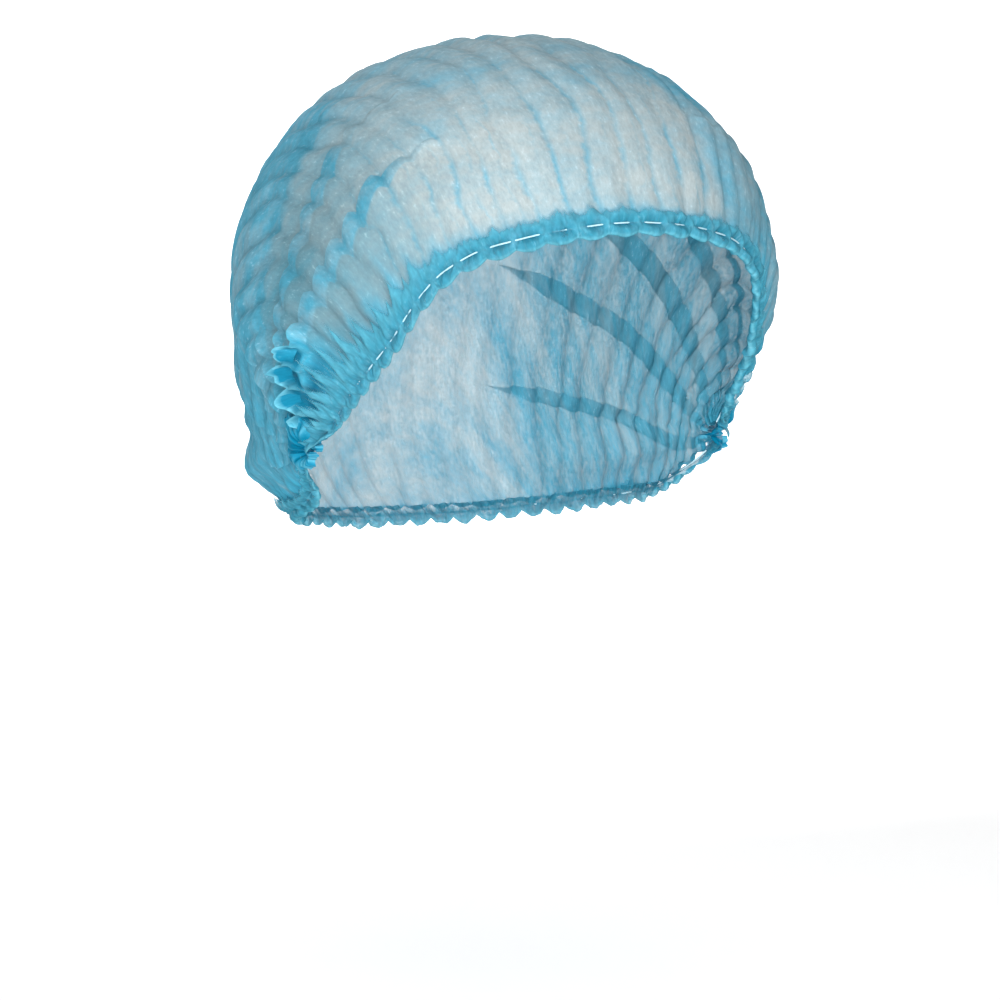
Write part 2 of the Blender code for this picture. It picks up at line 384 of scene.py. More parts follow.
    def first_station(self) -> float:
        """Find the station where the cloth meets a gather.

        Returns:
            The station, just clear of the gather.
        """
        angles = np.array([row.angle for row in SHAPE])
        stations = np.linspace(0.002, 0.12, 600)
        points = self.point(stations[:, None], angles[None, :])
        away = np.hypot(points[..., 1], points[..., 2] - self.ear_line_z).min(axis=1)
        return float(stations[np.argmax(away > self.gather_radius + self.gap)])

    def stations(self, steps_per_rib: int, tucked: float = 0.0) -> np.ndarray:
        """List the stations of a piece of cloth from gather to gather.

        Args:
            steps_per_rib: Columns of cloth for each rib.
            tucked: Share of the way that the cloth's ends go in under the gathers.

        Returns:
            The stations, rising.
        """
        first = self.first_station() * (1.0 - tucked)
        steps = np.arange(RIBS * steps_per_rib + 1) / (RIBS * steps_per_rib)
        inner = steps[(steps > first) & (steps < 1.0 - first)]
        return np.concatenate(([first], inner, [1.0 - first]))


@dataclass(frozen=True)
class Ribs:
    """The lengthwise ribs: their wavering grooves and their uneven depth."""

    depth: float = 0.0022
    waver: float = 0.26
    front_depth: float = 0.55

    def number(self, station: np.ndarray, share: np.ndarray) -> np.ndarray:
        """Give the rib number, whole in the grooves.

        Args:
            station: Stations from the right gather to the left one.
            share: Shares of the way from the front hem to the back one.

        Returns:
            The numbers, which waver along each rib.
        """
        slow = Crumple(Grain.RIB_SWAY).at(station * RIBS * 0.55, share * 9.0)
        quick = Crumple(Grain.RIB_QUIVER).at(station * RIBS * 1.1, share * 23.0)
        fade = np.clip(np.minimum(share, 1.0 - share) / 0.04, 0.0, 1.0)
        fade = fade * ease(0.04, 0.16, np.minimum(station, 1.0 - station))
        return station * RIBS + self.waver * fade * (slow + 0.6 * quick)

    def wave(self, number: np.ndarray) -> np.ndarray:
        """Give 0 in a groove and 1 on top of a rib."""
        return np.abs(np.sin(np.pi * number))

    def lift(self, station: np.ndarray, share: np.ndarray, number: np.ndarray) -> np.ndarray:
        """Give the ribs' lift, 0 on their tops and below it in the grooves.

        Args:
            station: Stations from the right gather to the left one.
            share: Shares of the way from the front hem to the back one.
            number: Rib numbers.

        Returns:
            The lift, in metres.
        """
        near = np.minimum(station, 1.0 - station)
        fade = np.minimum(1.0, near / 0.10)
        front = 1.0 - (1.0 - self.front_depth) * ease(0.36, 0.20, share) * ease(0.24, 0.34, near)
        uneven = 0.80 + 0.45 * Crumple(Grain.RIB_DEPTH).at(np.floor(number) * 1.7, share * 7.0)
        return -self.depth * fade * front * uneven * (1.0 - self.wave(number))


def cloth_grid(
    name: str,
    points: np.ndarray,
    attributes: dict[str, np.ndarray],
    uv: np.ndarray,
    away_from: Vector,
    closed: bool = False,
    folds: np.ndarray | None = None,
) -> bpy.types.Object:
    """Make a sheet of cloth from a grid, with every vertex moved to its place.

    Args:
        name: Name of the new object.
        points: Places, with rows, columns and x, y, z on its axes.
        attributes: Values for the finish at each row and column.
        uv: Lengths along the cloth at each row and column, in metres.
        away_from: A point that the sheet's outside faces away from.
        closed: True if the last column meets the first.
        folds: True for each row that is a fold line, where the cloth turns back sharply.

    Returns:
        The new object, linked to the scene.
    """
    rows, columns = points.shape[:2]
    sheet = bmesh.new()
    bmesh.ops.create_grid(sheet, x_segments=columns - 1, y_segments=rows - 1, size=1.0)
    mesh = bpy.data.meshes.new(name)
    sheet.to_mesh(mesh)
    sheet.free()
    flat = np.empty(len(mesh.vertices) * 3)
    mesh.vertices.foreach_get("co", flat)
    flat = flat.reshape(-1, 3)
    column = np.rint((flat[:, 0] + 1.0) * 0.5 * (columns - 1)).astype(int)
    row = np.rint((flat[:, 1] + 1.0) * 0.5 * (rows - 1)).astype(int)
    mesh.vertices.foreach_set("co", points[row, column].ravel())
    mesh.update()
    for label, values in attributes.items():
        layer = mesh.attributes.new(label, "FLOAT", "POINT")
        layer.data.foreach_set("value", np.ascontiguousarray(values[row, column], dtype=np.float32))
    corners = np.empty(len(mesh.loops), dtype=int)
    mesh.loops.foreach_get("vertex_index", corners)
    layer = mesh.uv_layers.new(name="cloth")
    layer.data.foreach_set("uv", uv[row[corners], column[corners]].ravel())
    shaped = bmesh.new()
    shaped.from_mesh(mesh)
    if closed:
        bmesh.ops.remove_doubles(shaped, verts=shaped.verts, dist=0.00001)
    shaped.normal_update()
    facing = sum(face.normal.dot(face.calc_center_median() - away_from) for face in shaped.faces)
    if facing < 0.0:
        bmesh.ops.reverse_faces(shaped, faces=shaped.faces)
    shaped.to_mesh(mesh)
    shaped.free()
    mesh.shade_smooth()
    if folds is not None:
        ends = np.empty(len(mesh.edges) * 2, dtype=int)
        mesh.edges.foreach_get("vertices", ends)
        ends = row[ends.reshape(-1, 2)]
        sharp = mesh.attributes.new("sharp_edge", "BOOLEAN", "EDGE")
        sharp.data.foreach_set("value", folds[ends[:, 0]] & (ends[:, 0] == ends[:, 1]))
    return add_object(name, mesh)


def settle(item: bpy.types.Object, node: str, material: bpy.types.Material) -> None:
    """Dress a piece, give it the place of its node and log it.

    Args:
        item: The finished piece.
        node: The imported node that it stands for.
        material: Its finish.
    """
    item.data.materials.clear()
    item.data.materials.append(material)
    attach(item, "root")
    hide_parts(node)
    LOG.info("%s: %d faces", item.name, len(item.data.polygons))


@dataclass(frozen=True)
class Bench:
    """Adds the nodes of one material and joins them."""

    tree: bpy.types.NodeTree

    def feed(self, socket: bpy.types.NodeSocket, value: object) -> None:
        """Give a socket its value.

        Args:
            socket: The input to feed.
            value: A number, a colour, or the output of another node.
        """
        if isinstance(value, tuple):
            socket.default_value = (*value, 1.0)
        elif isinstance(value, float):
            socket.default_value = value
        else:
            self.tree.links.new(value, socket)

    def node(self, kind: str, feeds: dict | None = None, **settings: object) -> bpy.types.Node:
        """Add a node.

        Args:
            kind: Type of the node.
            feeds: Values for its inputs, by name or number.
            **settings: Its properties.

        Returns:
            The node.
        """
        made = self.tree.nodes.new(kind)
        for key, value in settings.items():
            setattr(made, key, value)
        for key, value in (feeds or {}).items():
            self.feed(made.inputs[key], value)
        return made

    def calc(
        self, operation: str, first: object, second: object, clamp: bool = False
    ) -> bpy.types.NodeSocket:
        """Add a math node.

        Args:
            operation: What it works out.
            first: Its first value.
            second: Its second value.
            clamp: True to keep the result between 0 and 1.

        Returns:
            Its output.
        """
        feeds = {0: first, 1: second}
        return self.node("ShaderNodeMath", feeds, operation=operation, use_clamp=clamp).outputs[0]

    def plus(self, first: object, second: object, clamp: bool = False) -> bpy.types.NodeSocket:
        """Add two values."""
        return self.calc("ADD", first, second, clamp)

    def times(self, first: object, second: object, clamp: bool = False) -> bpy.types.NodeSocket:
        """Multiply two values."""
        return self.calc("MULTIPLY", first, second, clamp)

    def past(self, value: object, start: float, gain: float, clamp: bool = True) -> bpy.types.NodeSocket:
        """Give how far a value is past a start, times a gain."""
        return self.times(self.calc("SUBTRACT", value, start), gain, clamp)

    def rest(self, value: object, gain: float = 1.0) -> bpy.types.NodeSocket:
        """Give what is left of 1 after a value times a gain, but no less than 0."""
        return self.calc("SUBTRACT", 1.0, self.times(value, gain), clamp=True)

    def blend(self, share: object, first: object, second: object) -> bpy.types.NodeSocket:
        """Add a colour mix node.

        Args:
            share: Share of the second colour.
            first: The first colour.
            second: The second colour.

        Returns:
            The mixed colour.
        """
        return self.node("ShaderNodeMix", {0: share, 6: first, 7: second}, data_type="RGBA").outputs[2]

    def cloud(
        self, vector: object, scale: float, detail: float, roughness: float = 0.6
    ) -> bpy.types.NodeSocket:
        """Add a noise texture.

        Args:
            vector: Where it is read.
            scale: Its cells in a metre.
            detail: How many finer layers it has.
            roughness: How strong those are.

        Returns:
            Its height.
        """
        feeds = {"Vector": vector, "Scale": scale, "Detail": detail, "Roughness": roughness}
        return self.node("ShaderNodeTexNoise", feeds).outputs[0]


@dataclass(frozen=True)
class NonwovenFinish:
    """Thin spunbond nonwoven: grey where single, sky blue where folded or bunched, with painted shade and
    highlights.
    """

    name: str
    single: tuple[float, float, float] = (0.41, 0.465, 0.468)
    folded: tuple[float, float, float] = (0.078, 0.35, 0.49)
    # Painted shade: the darker, greyer colour of the cloth towards the ears.
    side_shade_colour: tuple[float, float, float] = (0.075, 0.185, 0.220)
    bunched: tuple[float, float, float] = (0.048, 0.36, 0.52)
    # Deep cyan of tightly bunched cloth, darkened further as painted shade in the hollows of cups, pockets
    # and gathers.
    deep_and_shade: tuple[float, float, float] = (0.0008, 0.150, 0.255)
    # Painted highlight colour, laid on crests, ridges and fold edges.
    edge: tuple[float, float, float] = (0.20, 0.62, 0.76)
    fleck: tuple[float, float, float] = (0.70, 0.86, 0.92)
    roughness: float = 0.78
    shine: float = 0.06
    glow: float = 0.22
    thin_cover: float = 0.87
    thick_cover: float = 0.96
    mottle_scale: float = 170.0
    fibre_scale: float = 900.0
    fibre_stretch: tuple[float, float, float] = (1.0, 0.34, 1.0)
    crinkle_depth: float = 0.00045
    crinkle_strength: float = 0.7
    groove_wobble: float = 0.45
    crease_width: float = 6.5
    crease_cover: float = 0.56
    fine_crease_width: float = 11.0
    fine_crease_cover: float = 0.45
    furrow_width: float = 3.5
    furrow_shade: float = 0.20
    side_shade_share: float = 0.60
    fleck_share: float = 0.36
    fray: float = 0.72
    # Share of the creases that also get the painted highlight.
    crease_highlight: float = 0.0

    def make(self) -> bpy.types.Material:
        """Build the finish.

        Returns:
            The material, which reads the cloth's own UV map and attributes.
        """
        material = bpy.data.materials.new(self.name)
        material.use_nodes = True
        material.node_tree.nodes.clear()
        bench = Bench(material.node_tree)
        read = self.read_cloth(bench)
        self.find_creases(bench, read)
        self.find_cover(bench, read)
        colour = self.mix_colour(bench, read)
        self.lay_surface(bench, read, colour)
        return material

    def read_cloth(self, bench: Bench) -> dict[str, bpy.types.NodeSocket]:
        """Read the cloth's attributes and the noises on its UV map.

        Args:
            bench: The material's bench.

        Returns:
            Their values by name.
        """
        read = {}
        for name in ("layers", "bunch", "rib", "highlight", "sheer", "side_shade", "lapped"):
            read[name] = bench.node("ShaderNodeAttribute", attribute_name=name).outputs["Fac"]
        cloth = bench.node("ShaderNodeUVMap", uv_map="cloth").outputs[0]
        stretched = bench.node("ShaderNodeMapping", {"Vector": cloth})
        stretched.inputs["Scale"].default_value = self.fibre_stretch
        read["mottle"] = bench.cloud(cloth, self.mottle_scale, 5.0, 0.62)
        read["patches"] = bench.cloud(cloth, self.mottle_scale * 0.22, 3.0)
        read["fibres"] = bench.cloud(stretched.outputs[0], self.fibre_scale, 4.0, 0.7)
        read["crinkle"] = bench.cloud(stretched.outputs[0], self.mottle_scale * 1.6, 4.0, 0.6)
        return read

    def find_creases(self, bench: Bench, read: dict[str, bpy.types.NodeSocket]) -> None:
        """Add the broken creases in and between the grooves to the values read.

        Args:
            bench: The material's bench.
            read: Values by name, which gets groove and crease.
        """
        patches = read["patches"]
        number = bench.plus(read["rib"], bench.past(read["mottle"], 0.5, self.groove_wobble, clamp=False))
        read["groove"] = bench.calc("PINGPONG", number, 0.5)
        crease = bench.times(bench.rest(read["groove"], self.crease_width), bench.past(patches, 0.33, 4.0))
        crease = bench.times(crease, self.crease_cover)
        fine = bench.calc("PINGPONG", bench.plus(number, bench.times(patches, 0.9)), 0.5)
        apart = bench.times(bench.calc("SUBTRACT", 0.56, patches), 4.0, clamp=True)
        fine = bench.times(bench.rest(fine, self.fine_crease_width), apart)
        read["crease"] = bench.calc("MAXIMUM", crease, bench.times(fine, self.fine_crease_cover))

    def find_cover(self, bench: Bench, read: dict[str, bpy.types.NodeSocket]) -> None:
        """Add how thick and how closely bunched the cloth is to the values read.

        Args:
            bench: The material's bench.
            read: Values by name, which gets cover and vivid.
        """
        uneven = bench.plus(bench.times(read["patches"], 1.2), 0.40)
        cover = bench.times(read["layers"], uneven, clamp=True)
        cover = bench.calc("MAXIMUM", cover, read["crease"])
        read["cover"] = bench.plus(cover, bench.past(read["patches"], 0.40, 0.9), clamp=True)
        read["vivid"] = bench.times(read["bunch"], 2.0, clamp=True)

    def mix_colour(self, bench: Bench, read: dict[str, bpy.types.NodeSocket]) -> bpy.types.NodeSocket:
        """Mix the cloth's colour, with its painted shade and painted highlights.

        Args:
            bench: The material's bench.
            read: Values by name.

        Returns:
            The colour.
        """
        mottle, bunch, fibres = read["mottle"], read["bunch"], read["fibres"]
        flecked = bench.plus(read["cover"], bench.past(mottle, 0.5, 0.85, clamp=False), clamp=True)
        colour = bench.blend(flecked, self.single, self.folded)
        # Painted shade: darker, greyer cloth towards the ears.
        colour = bench.blend(bench.times(read["side_shade"], self.side_shade_share), colour, self.side_shade_colour)
        patchy = bench.times(read["vivid"], bench.plus(mottle, 0.45), clamp=True)
        colour = bench.blend(patchy, colour, self.bunched)
        # Deep colour: tightly bunched cloth, with painted shade in the hollows.
        deep_and_shade_share = bench.calc("SUBTRACT", bench.times(bunch, 2.0), 1.0, clamp=True)
        colour = bench.blend(deep_and_shade_share, colour, self.deep_and_shade)
        # Painted highlight on crests, ridges and fold edges, and on the creases by a set share.
        lit = bench.calc("MAXIMUM", read["highlight"], bench.times(read["crease"], self.crease_highlight))
        colour = bench.blend(bench.times(lit, bench.plus(mottle, 0.25), clamp=True), colour, self.edge)
        speck = bench.times(bench.past(fibres, 0.60, 6.0), bench.rest(bunch, 0.9))
        colour = bench.blend(bench.times(speck, self.fleck_share), colour, self.fleck)
        tone = bench.plus(bench.times(fibres, 0.45), bench.times(read["crinkle"], 0.40))
        furrow = bench.times(bench.rest(read["groove"], self.furrow_width), read["layers"])
        tone = bench.calc("SUBTRACT", bench.plus(tone, 0.575), bench.times(furrow, self.furrow_shade))
        feeds = {0: colour, "Scale": tone}
        return bench.node("ShaderNodeVectorMath", feeds, operation="SCALE").outputs[0]

    def lay_surface(
        self,
        bench: Bench,
        read: dict[str, bpy.types.NodeSocket],
        colour: bpy.types.NodeSocket,
    ) -> None:
        """Join the cloth's surface, the light that comes through it and the gaps between its fibres.

        Args:
            bench: The material's bench.
            read: Values by name.
            colour: The cloth's colour.
        """
        fibres, crinkle = read["fibres"], read["crinkle"]
        height = bench.plus(crinkle, bench.times(fibres, 0.35))
        feeds = {"Strength": self.crinkle_strength, "Distance": self.crinkle_depth, "Height": height}
        bump = bench.node("ShaderNodeBump", feeds).outputs[0]
        feeds = {"Base Color": colour, "Normal": bump, "Roughness": self.roughness}
        face = bench.node("ShaderNodeBsdfPrincipled", feeds)
        face.inputs["Specular IOR Level"].default_value = self.shine
        through = bench.node("ShaderNodeBsdfTranslucent", {"Color": colour})
        glow = bench.calc("SUBTRACT", self.glow, bench.times(read["lapped"], self.glow))
        soft = bench.node("ShaderNodeMixShader", {0: glow, 1: face.outputs[0], 2: through.outputs[0]})
        thick = bench.calc("MAXIMUM", read["cover"], read["vivid"])
        cover = bench.plus(bench.times(thick, self.thick_cover - self.thin_cover), self.thin_cover)
        cover = bench.plus(cover, bench.past(fibres, 0.5, 0.35, clamp=False), clamp=True)
        faded = bench.plus(read["sheer"], bench.calc("SUBTRACT", crinkle, self.fray))
        faded = bench.times(faded, 2.2, clamp=True)
        cover = bench.times(cover, bench.calc("SUBTRACT", 1.0, faded))
        clear = bench.node("ShaderNodeBsdfTransparent")
        thin = bench.node("ShaderNodeMixShader", {0: cover, 1: clear.outputs[0], 2: soft.outputs[0]})
        bench.node("ShaderNodeOutputMaterial", {"Surface": thin.outputs[0]})


@dataclass(frozen=True)
class ThreadFinish:
    """White covered elastic with a fine twist."""

    name: str = "white_elastic_thread"
    colour: tuple[float, float, float] = (0.50, 0.76, 0.85)
    shaded: tuple[float, float, float] = (0.40, 0.608, 0.68)
    roughness: float = 0.5
    twist_scale: float = 1500.0
    twist_depth: float = 0.0001

    def make(self) -> bpy.types.Material:
        """Build the finish.

        Returns:
            The material.
        """
        material = bpy.data.materials.new(self.name)
        material.use_nodes = True
        bench = Bench(material.node_tree)
        place = bench.node("ShaderNodeTexCoord").outputs["Object"]
        twist = bench.node("ShaderNodeTexNoise", {"Vector": place, "Scale": self.twist_scale}).outputs[0]
        bump = bench.node("ShaderNodeBump", {"Distance": self.twist_depth, "Height": twist}).outputs[0]
        face = material.node_tree.nodes["Principled BSDF"]
        face.inputs["Roughness"].default_value = self.roughness
        bench.feed(face.inputs["Base Color"], bench.blend(twist, self.shaded, self.colour))
        bench.feed(face.inputs["Normal"], bump)
        return material


class Part(IntEnum):
    """The parts of a panel, in the order in which the cloth runs through them."""

    UNDER = 1
    FREE = 2
    OVER = 3
    BACK = 4


@dataclass(frozen=True)
class Step:
    """One row of the crown's cloth on its way through the folds; level is counted in layers."""

    panel: int
    way: float
    part: Part
    level: float
    stand: float = 0.0
    double: float = 0.0


@dataclass
class Layout:
    """How the crown's cloth lies: a row for each step through the folds, a column for each station."""

    station: np.ndarray
    near: np.ndarray
    front: np.ndarray
    degree: np.ndarray
    length: np.ndarray
    panel: np.ndarray
    part: np.ndarray
    way: np.ndarray
    level: np.ndarray
    stand: np.ndarray
    double: np.ndarray
    start: np.ndarray
    end: np.ndarray
    lap_before: np.ndarray
    lap_after: np.ndarray
    folded: np.ndarray
    flare: np.ndarray
    drawn: np.ndarray
    along: np.ndarray = field(init=False)
    share: np.ndarray = field(init=False)
    number: np.ndarray = field(init=False)


@dataclass(frozen=True)
class Cups:
    """The standing cups beside the ears, as grids over the crown's cloth."""

    flare: np.ndarray
    lobe: np.ndarray
    scoop: np.ndarray
    raised: np.ndarray
    hollowed: np.ndarray
    divider: np.ndarray
    height: np.ndarray


@dataclass
class Crown:
    """The pleated crown: eight panels of thin cloth folded over each other, ribbed from front to back."""

    shape: CapShape
    ribs: Ribs
    layer_step: float = 0.00032
    jog: float = 0.0044
    jog_uneven: float = 0.0012
    jog_rise: float = 0.82
    jog_fall: float = 0.18
    flare_height: float = 0.0062
    flare_sway: float = 0.0003
    cup_dip: float = 0.0034
    divider_height: float = 0.0026
    scoop_width: float = 0.0110
    cup_scallop: float = 0.0034
    ear_drift: float = 0.080
    drift_at: float = 0.085
    drift_reach: float = 0.045
    left_ear_share: float = 0.35
    open_station: float = 0.48
    open_middle: float = 0.10
    open_fade: float = 0.09
    open_width: float = 0.0024
    open_spread: float = 0.30
    lap_room: float = 0.42
    pocket_depth: float = 0.0026
    pocket_angle: float = 53.0
    pocket_reach: float = 8.0
    fan_depth: float = 0.0022
    fan_reach: float = 0.070
    fine_fan: float = 0.0012
    fine_fan_reach: float = 0.09
    crumple: float = 0.0007
    hem_gather: float = 0.0008
    hem_gather_reach: float = 0.012
    tuck_height: float = 0.0020
    tucked: float = 0.45
    uv_width: float = 0.31
    hidden_rows: int = 5
    free_rows: int = 11
    lapped_rows: int = 7
    return_rows: int = 5

    def lay_rows(self) -> list[Step]:
        """List the rows of cloth from the front hem to the back one, through every fold.

        Returns:
            The rows.
        """
        rows = []
        for panel in range(len(PLEATS) + 1):
            if panel > 0:
                for way in np.linspace(0, 1, self.hidden_rows, endpoint=False):
                    rows.append(Step(panel, way, Part.UNDER, 0.3 * way))
            for way in np.linspace(0, 1, self.free_rows):
                rows.append(Step(panel, way, Part.FREE, 0.3 + 1.2 * way * way))
            if panel < len(PLEATS):
                for way in np.linspace(0, 1, self.lapped_rows + 1)[1:]:
                    level = 1.6 + 0.5 * math.sin(math.pi * way)
                    rows.append(Step(panel, way, Part.OVER, level, way, 1.0))
                for way in np.linspace(0, 1, self.return_rows + 1)[1:]:
                    rows.append(Step(panel, way, Part.BACK, 1.0 - 0.6 * way, 1.0 - way, 1.0))
        return rows

    def lay_out(self, rows: list[Step]) -> Layout:
        """Place the panels and their laps on the shape.

        Args:
            rows: The rows of cloth.

        Returns:
            How the cloth lies, before it runs through the folds.
        """
        shape = self.shape
        station = shape.stations(CROWN_STEPS_PER_RIB, tucked=self.tucked)[None, :]
        near = shape.ear_distance(station)
        front = shape.hem_angle(station, Hem.FRONT, np.array(self.tuck_height))
        back = shape.hem_angle(station, Hem.BACK, np.array(self.tuck_height))
        degree = shape.slope(station, 0.5 * (front + back))
        length = (back - front) * degree
        steps = {
            name: np.array([getattr(row, name) for row in rows])[:, None]
            for name in ("panel", "way", "part", "level", "stand", "double")
        }
        panel = steps["panel"]
        lines = np.array([0.0] + [pleat.share for pleat in PLEATS] + [1.0])
        laps = np.array([0.0] + [pleat.lap for pleat in PLEATS] + [0.0])
        flares = np.array([0.0] + [pleat.flare for pleat in PLEATS] + [0.0])
        from_middle = np.abs(station - self.open_station)
        folded = ease(self.open_middle, self.open_middle + self.open_fade, from_middle)
        spread = self.open_spread + (1.0 - self.open_spread) * folded
        room = self.lap_room * (lines[panel + 1] - lines[panel]) * length
        return Layout(
            station=station,
            near=near,
            front=front,
            degree=degree,
            length=length,
            start=lines[panel] * length,
            end=lines[panel + 1] * length,
            lap_before=np.minimum(laps[panel] * spread, room),
            lap_after=np.minimum(laps[panel + 1] * spread, room),
            folded=folded,
            flare=flares[panel + 1],
            drawn=self.ear_drift * length * bell(near, self.drift_at, self.drift_reach),
            **steps,
        )

    def run_through(self, lay: Layout) -> None:
        """Run the cloth through its folds: laps shut towards the ears and laid open over the top.

        Args:
            lay: How the cloth lies, which gets its lengths, shares and rib numbers.
        """
        way, part, start, end = lay.way, lay.part, lay.start, lay.end
        free_start = start + 0.5 * lay.lap_before
        free_end = end - 0.5 * lay.lap_after
        under = start + lay.lap_before * (way - 0.5)
        free = free_start + (free_end - free_start) * way
        over = end + lay.lap_after * (way - 0.5)
        beneath = end + lay.lap_after * (0.5 - way)
        cases = [part == Part.UNDER, part == Part.FREE, part == Part.OVER]
        shut = np.select(cases, [under, free, over], beneath)
        third = self.open_width / 3.0
        laid_start = start + np.where(lay.panel == 0, 0.0, 3.0 * third)
        laid_end = end - np.where(lay.panel == len(PLEATS), 0.0, 3.0 * third)
        laid_under = start + third * (1.0 + 2.0 * way)
        laid_free = laid_start + (laid_end - laid_start) * way
        laid_over = end + third * (2.0 * way - 3.0)
        laid_beneath = end + third * (1.6 * way - 1.0)
        laid = np.select(cases, [laid_under, laid_free, laid_over], laid_beneath)
        along = laid + (shut - laid) * lay.folded
        reached = np.clip(along / lay.length, 0.0, 1.0)
        drift = np.where(lay.panel == 0, ease(0.02, 0.13, reached), ease(0.24, 0.13, reached))
        lay.along = along + lay.drawn * drift * (lay.panel <= 1)
        lay.share = np.clip(lay.along / lay.length, 0.0, 1.0)
        lay.number = self.ribs.number(lay.station, lay.share)

    def step_laps(self, lay: Layout) -> None:
        """Step the edges of the laps from rib to rib.

        Args:
            lay: How the cloth lies, whose lengths change.
        """
        rib = np.floor(lay.number)
        through = lay.number - rib
        rise = through / self.jog_rise
        saw = np.where(through < self.jog_rise, rise, (1.0 - through) / self.jog_fall)
        jogs = []
        for line in (lay.panel, lay.panel + 1):
            stepped = 0.75 + 0.45 * Crumple(Grain.LAP_STEP).at(rib * 2.3 + 0.5, line * 3.7 + 0.5)
            loose = Crumple(Grain.LAP_RAGGED).at(rib * 3.3 + 0.5, line * 5.7 + 0.5)
            inner = (line > 0) & (line <= len(PLEATS))
            jogs.append((self.jog * stepped * (saw - 0.5) + self.jog_uneven * loose) * inner)
        meeting = jogs[0] * (1.0 - lay.way) + jogs[1] * lay.way
        shift = np.select([lay.part == Part.UNDER, lay.part == Part.FREE], [jogs[0], meeting], jogs[1])
        quiet = 1.0 - 0.75 * ease(0.22, 0.34, lay.share)
        lay.along = lay.along + shift * ease(0.05, 0.22, lay.near) * (0.20 + 0.80 * lay.folded) * quiet

    def stand_cups(self, lay: Layout) -> Cups:
        """Stand the lapped cloth beside the ears up in a row of cups.

        Args:
            lay: How the cloth lies, whose lengths change.

        Returns:
            The cups.
        """
        part, stand, along = lay.part, lay.stand, lay.along
        lobe = self.ribs.wave(lay.number) ** 0.7
        cupped = ease(0.022, 0.055, lay.near) * ease(0.165, 0.115, lay.near)
        flare = lay.flare * cupped * np.where(lay.station > 0.5, self.left_ear_share, 1.0)
        crest = lay.end + 0.5 * lay.lap_after + lay.drawn * (lay.panel == 0)
        scoop = np.clip((crest - along) / self.scoop_width, 0.0, 1.0)
        scoop = np.where(part == Part.UNDER, 1.0, scoop)
        raised = np.where(part == Part.BACK, stand**1.5, (1.0 - scoop) ** 1.6)
        hollowed = np.where(part == Part.BACK, 0.0, np.sin(np.pi * scoop**0.8))
        along = along - stand * flare * lay.lap_after * 0.5 * (part >= Part.OVER)
        along = along + flare * raised**2 * self.cup_scallop * (lobe - 0.6)
        lay.along = along + flare * raised**3 * self.flare_sway * np.sin(2.0 * np.pi * lay.number)
        loose = 0.85 + 0.35 * Crumple(Grain.CUP_HEIGHT).at(lay.number * 0.8, 0.5)
        loose = loose + 0.20 * Crumple(Grain.CUP_EDGE).at(lay.number * 5.0, scoop * 4.0)
        height = flare * self.flare_height * raised * (0.50 + 0.50 * lobe) * loose
        divider = (1.0 - lobe) ** 1.5
        height = height + flare * hollowed * (self.divider_height * divider - self.cup_dip * lobe)
        return Cups(flare, lobe, scoop, raised, hollowed, divider, height)

    def fan(self, lay: Layout, angle: np.ndarray) -> np.ndarray:
        """Give the fine creases that fan out from the ears.

        Args:
            lay: How the cloth lies.
            angle: Angles round the ear line, in degrees.

        Returns:
            Their height, between about -1.5 and 1.5.
        """
        coarse = Crumple(Grain.FAN_CREASE).at(angle * 0.085, lay.near * 9.0)
        return coarse + 0.5 * Crumple(Grain.FAN_FINE).at(angle * 0.21, lay.near * 20.0)

    def pocket(self, lay: Layout, angle: np.ndarray) -> np.ndarray:
        """Give the pocket under the cups, 1 at its deepest."""
        round_ear = ease(0.02, 0.05, lay.near) * ease(0.18, 0.11, lay.near)
        return bell(angle, self.pocket_angle, self.pocket_reach) * round_ear

    def lift(self, lay: Layout, angle: np.ndarray, height: np.ndarray) -> np.ndarray:
        """Give how far the cloth stands off the smooth shape.

        Args:
            lay: How the cloth lies.
            angle: Angles round the ear line, in degrees.
            height: Height of the cups.

        Returns:
            The lift, in metres.
        """
        station, near, along, length = lay.station, lay.near, lay.along, lay.length
        phase = np.where(lay.part == Part.FREE, lay.way, 0.0)
        fan = -self.fan_depth * bell(near, 0.0, self.fan_reach)
        fan = fan * 0.5 * (1.0 + np.cos(2.0 * np.pi * phase)) * (1.0 - lay.stand)
        fine = self.fine_fan * self.fan(lay, angle) * bell(near, 0.0, self.fine_fan_reach)
        fan = fan + fine * ease(0.015, 0.04, near)
        rumple = Crumple(Grain.RUMPLE).at(station * 26.0, along / 0.016)
        rumple = rumple + 0.5 * Crumple(Grain.RUMPLE_FINE).at(station * 75.0, along / 0.006)
        to_hem = np.minimum(along, length - along)
        gathers = Crumple(Grain.HEM_GATHER).at(station * RIBS * 3.4, along / 0.020)
        gathers = gathers * np.exp(-np.abs(to_hem) / self.hem_gather_reach)
        lying = np.clip(along / length, 0.0, 1.0)
        lift = self.ribs.lift(station, lying, self.ribs.number(station, lying)) + fan + height
        thinner = 1.0 - 0.66 * ease(0.22, 0.34, lay.share)
        lift = lift + self.layer_step * lay.level * ease(0.0, 0.12, lay.folded) * thinner
        lift = lift - self.pocket_depth * self.pocket(lay, angle)
        lift = lift + self.crumple * rumple + self.hem_gather * gathers
        for swell in SWELLS:
            across = (near - swell.station) / swell.station_reach
            around = (angle - swell.angle) / swell.angle_reach
            lift = lift + swell.lift * np.exp(-(across**2) - around**2)
        return lift

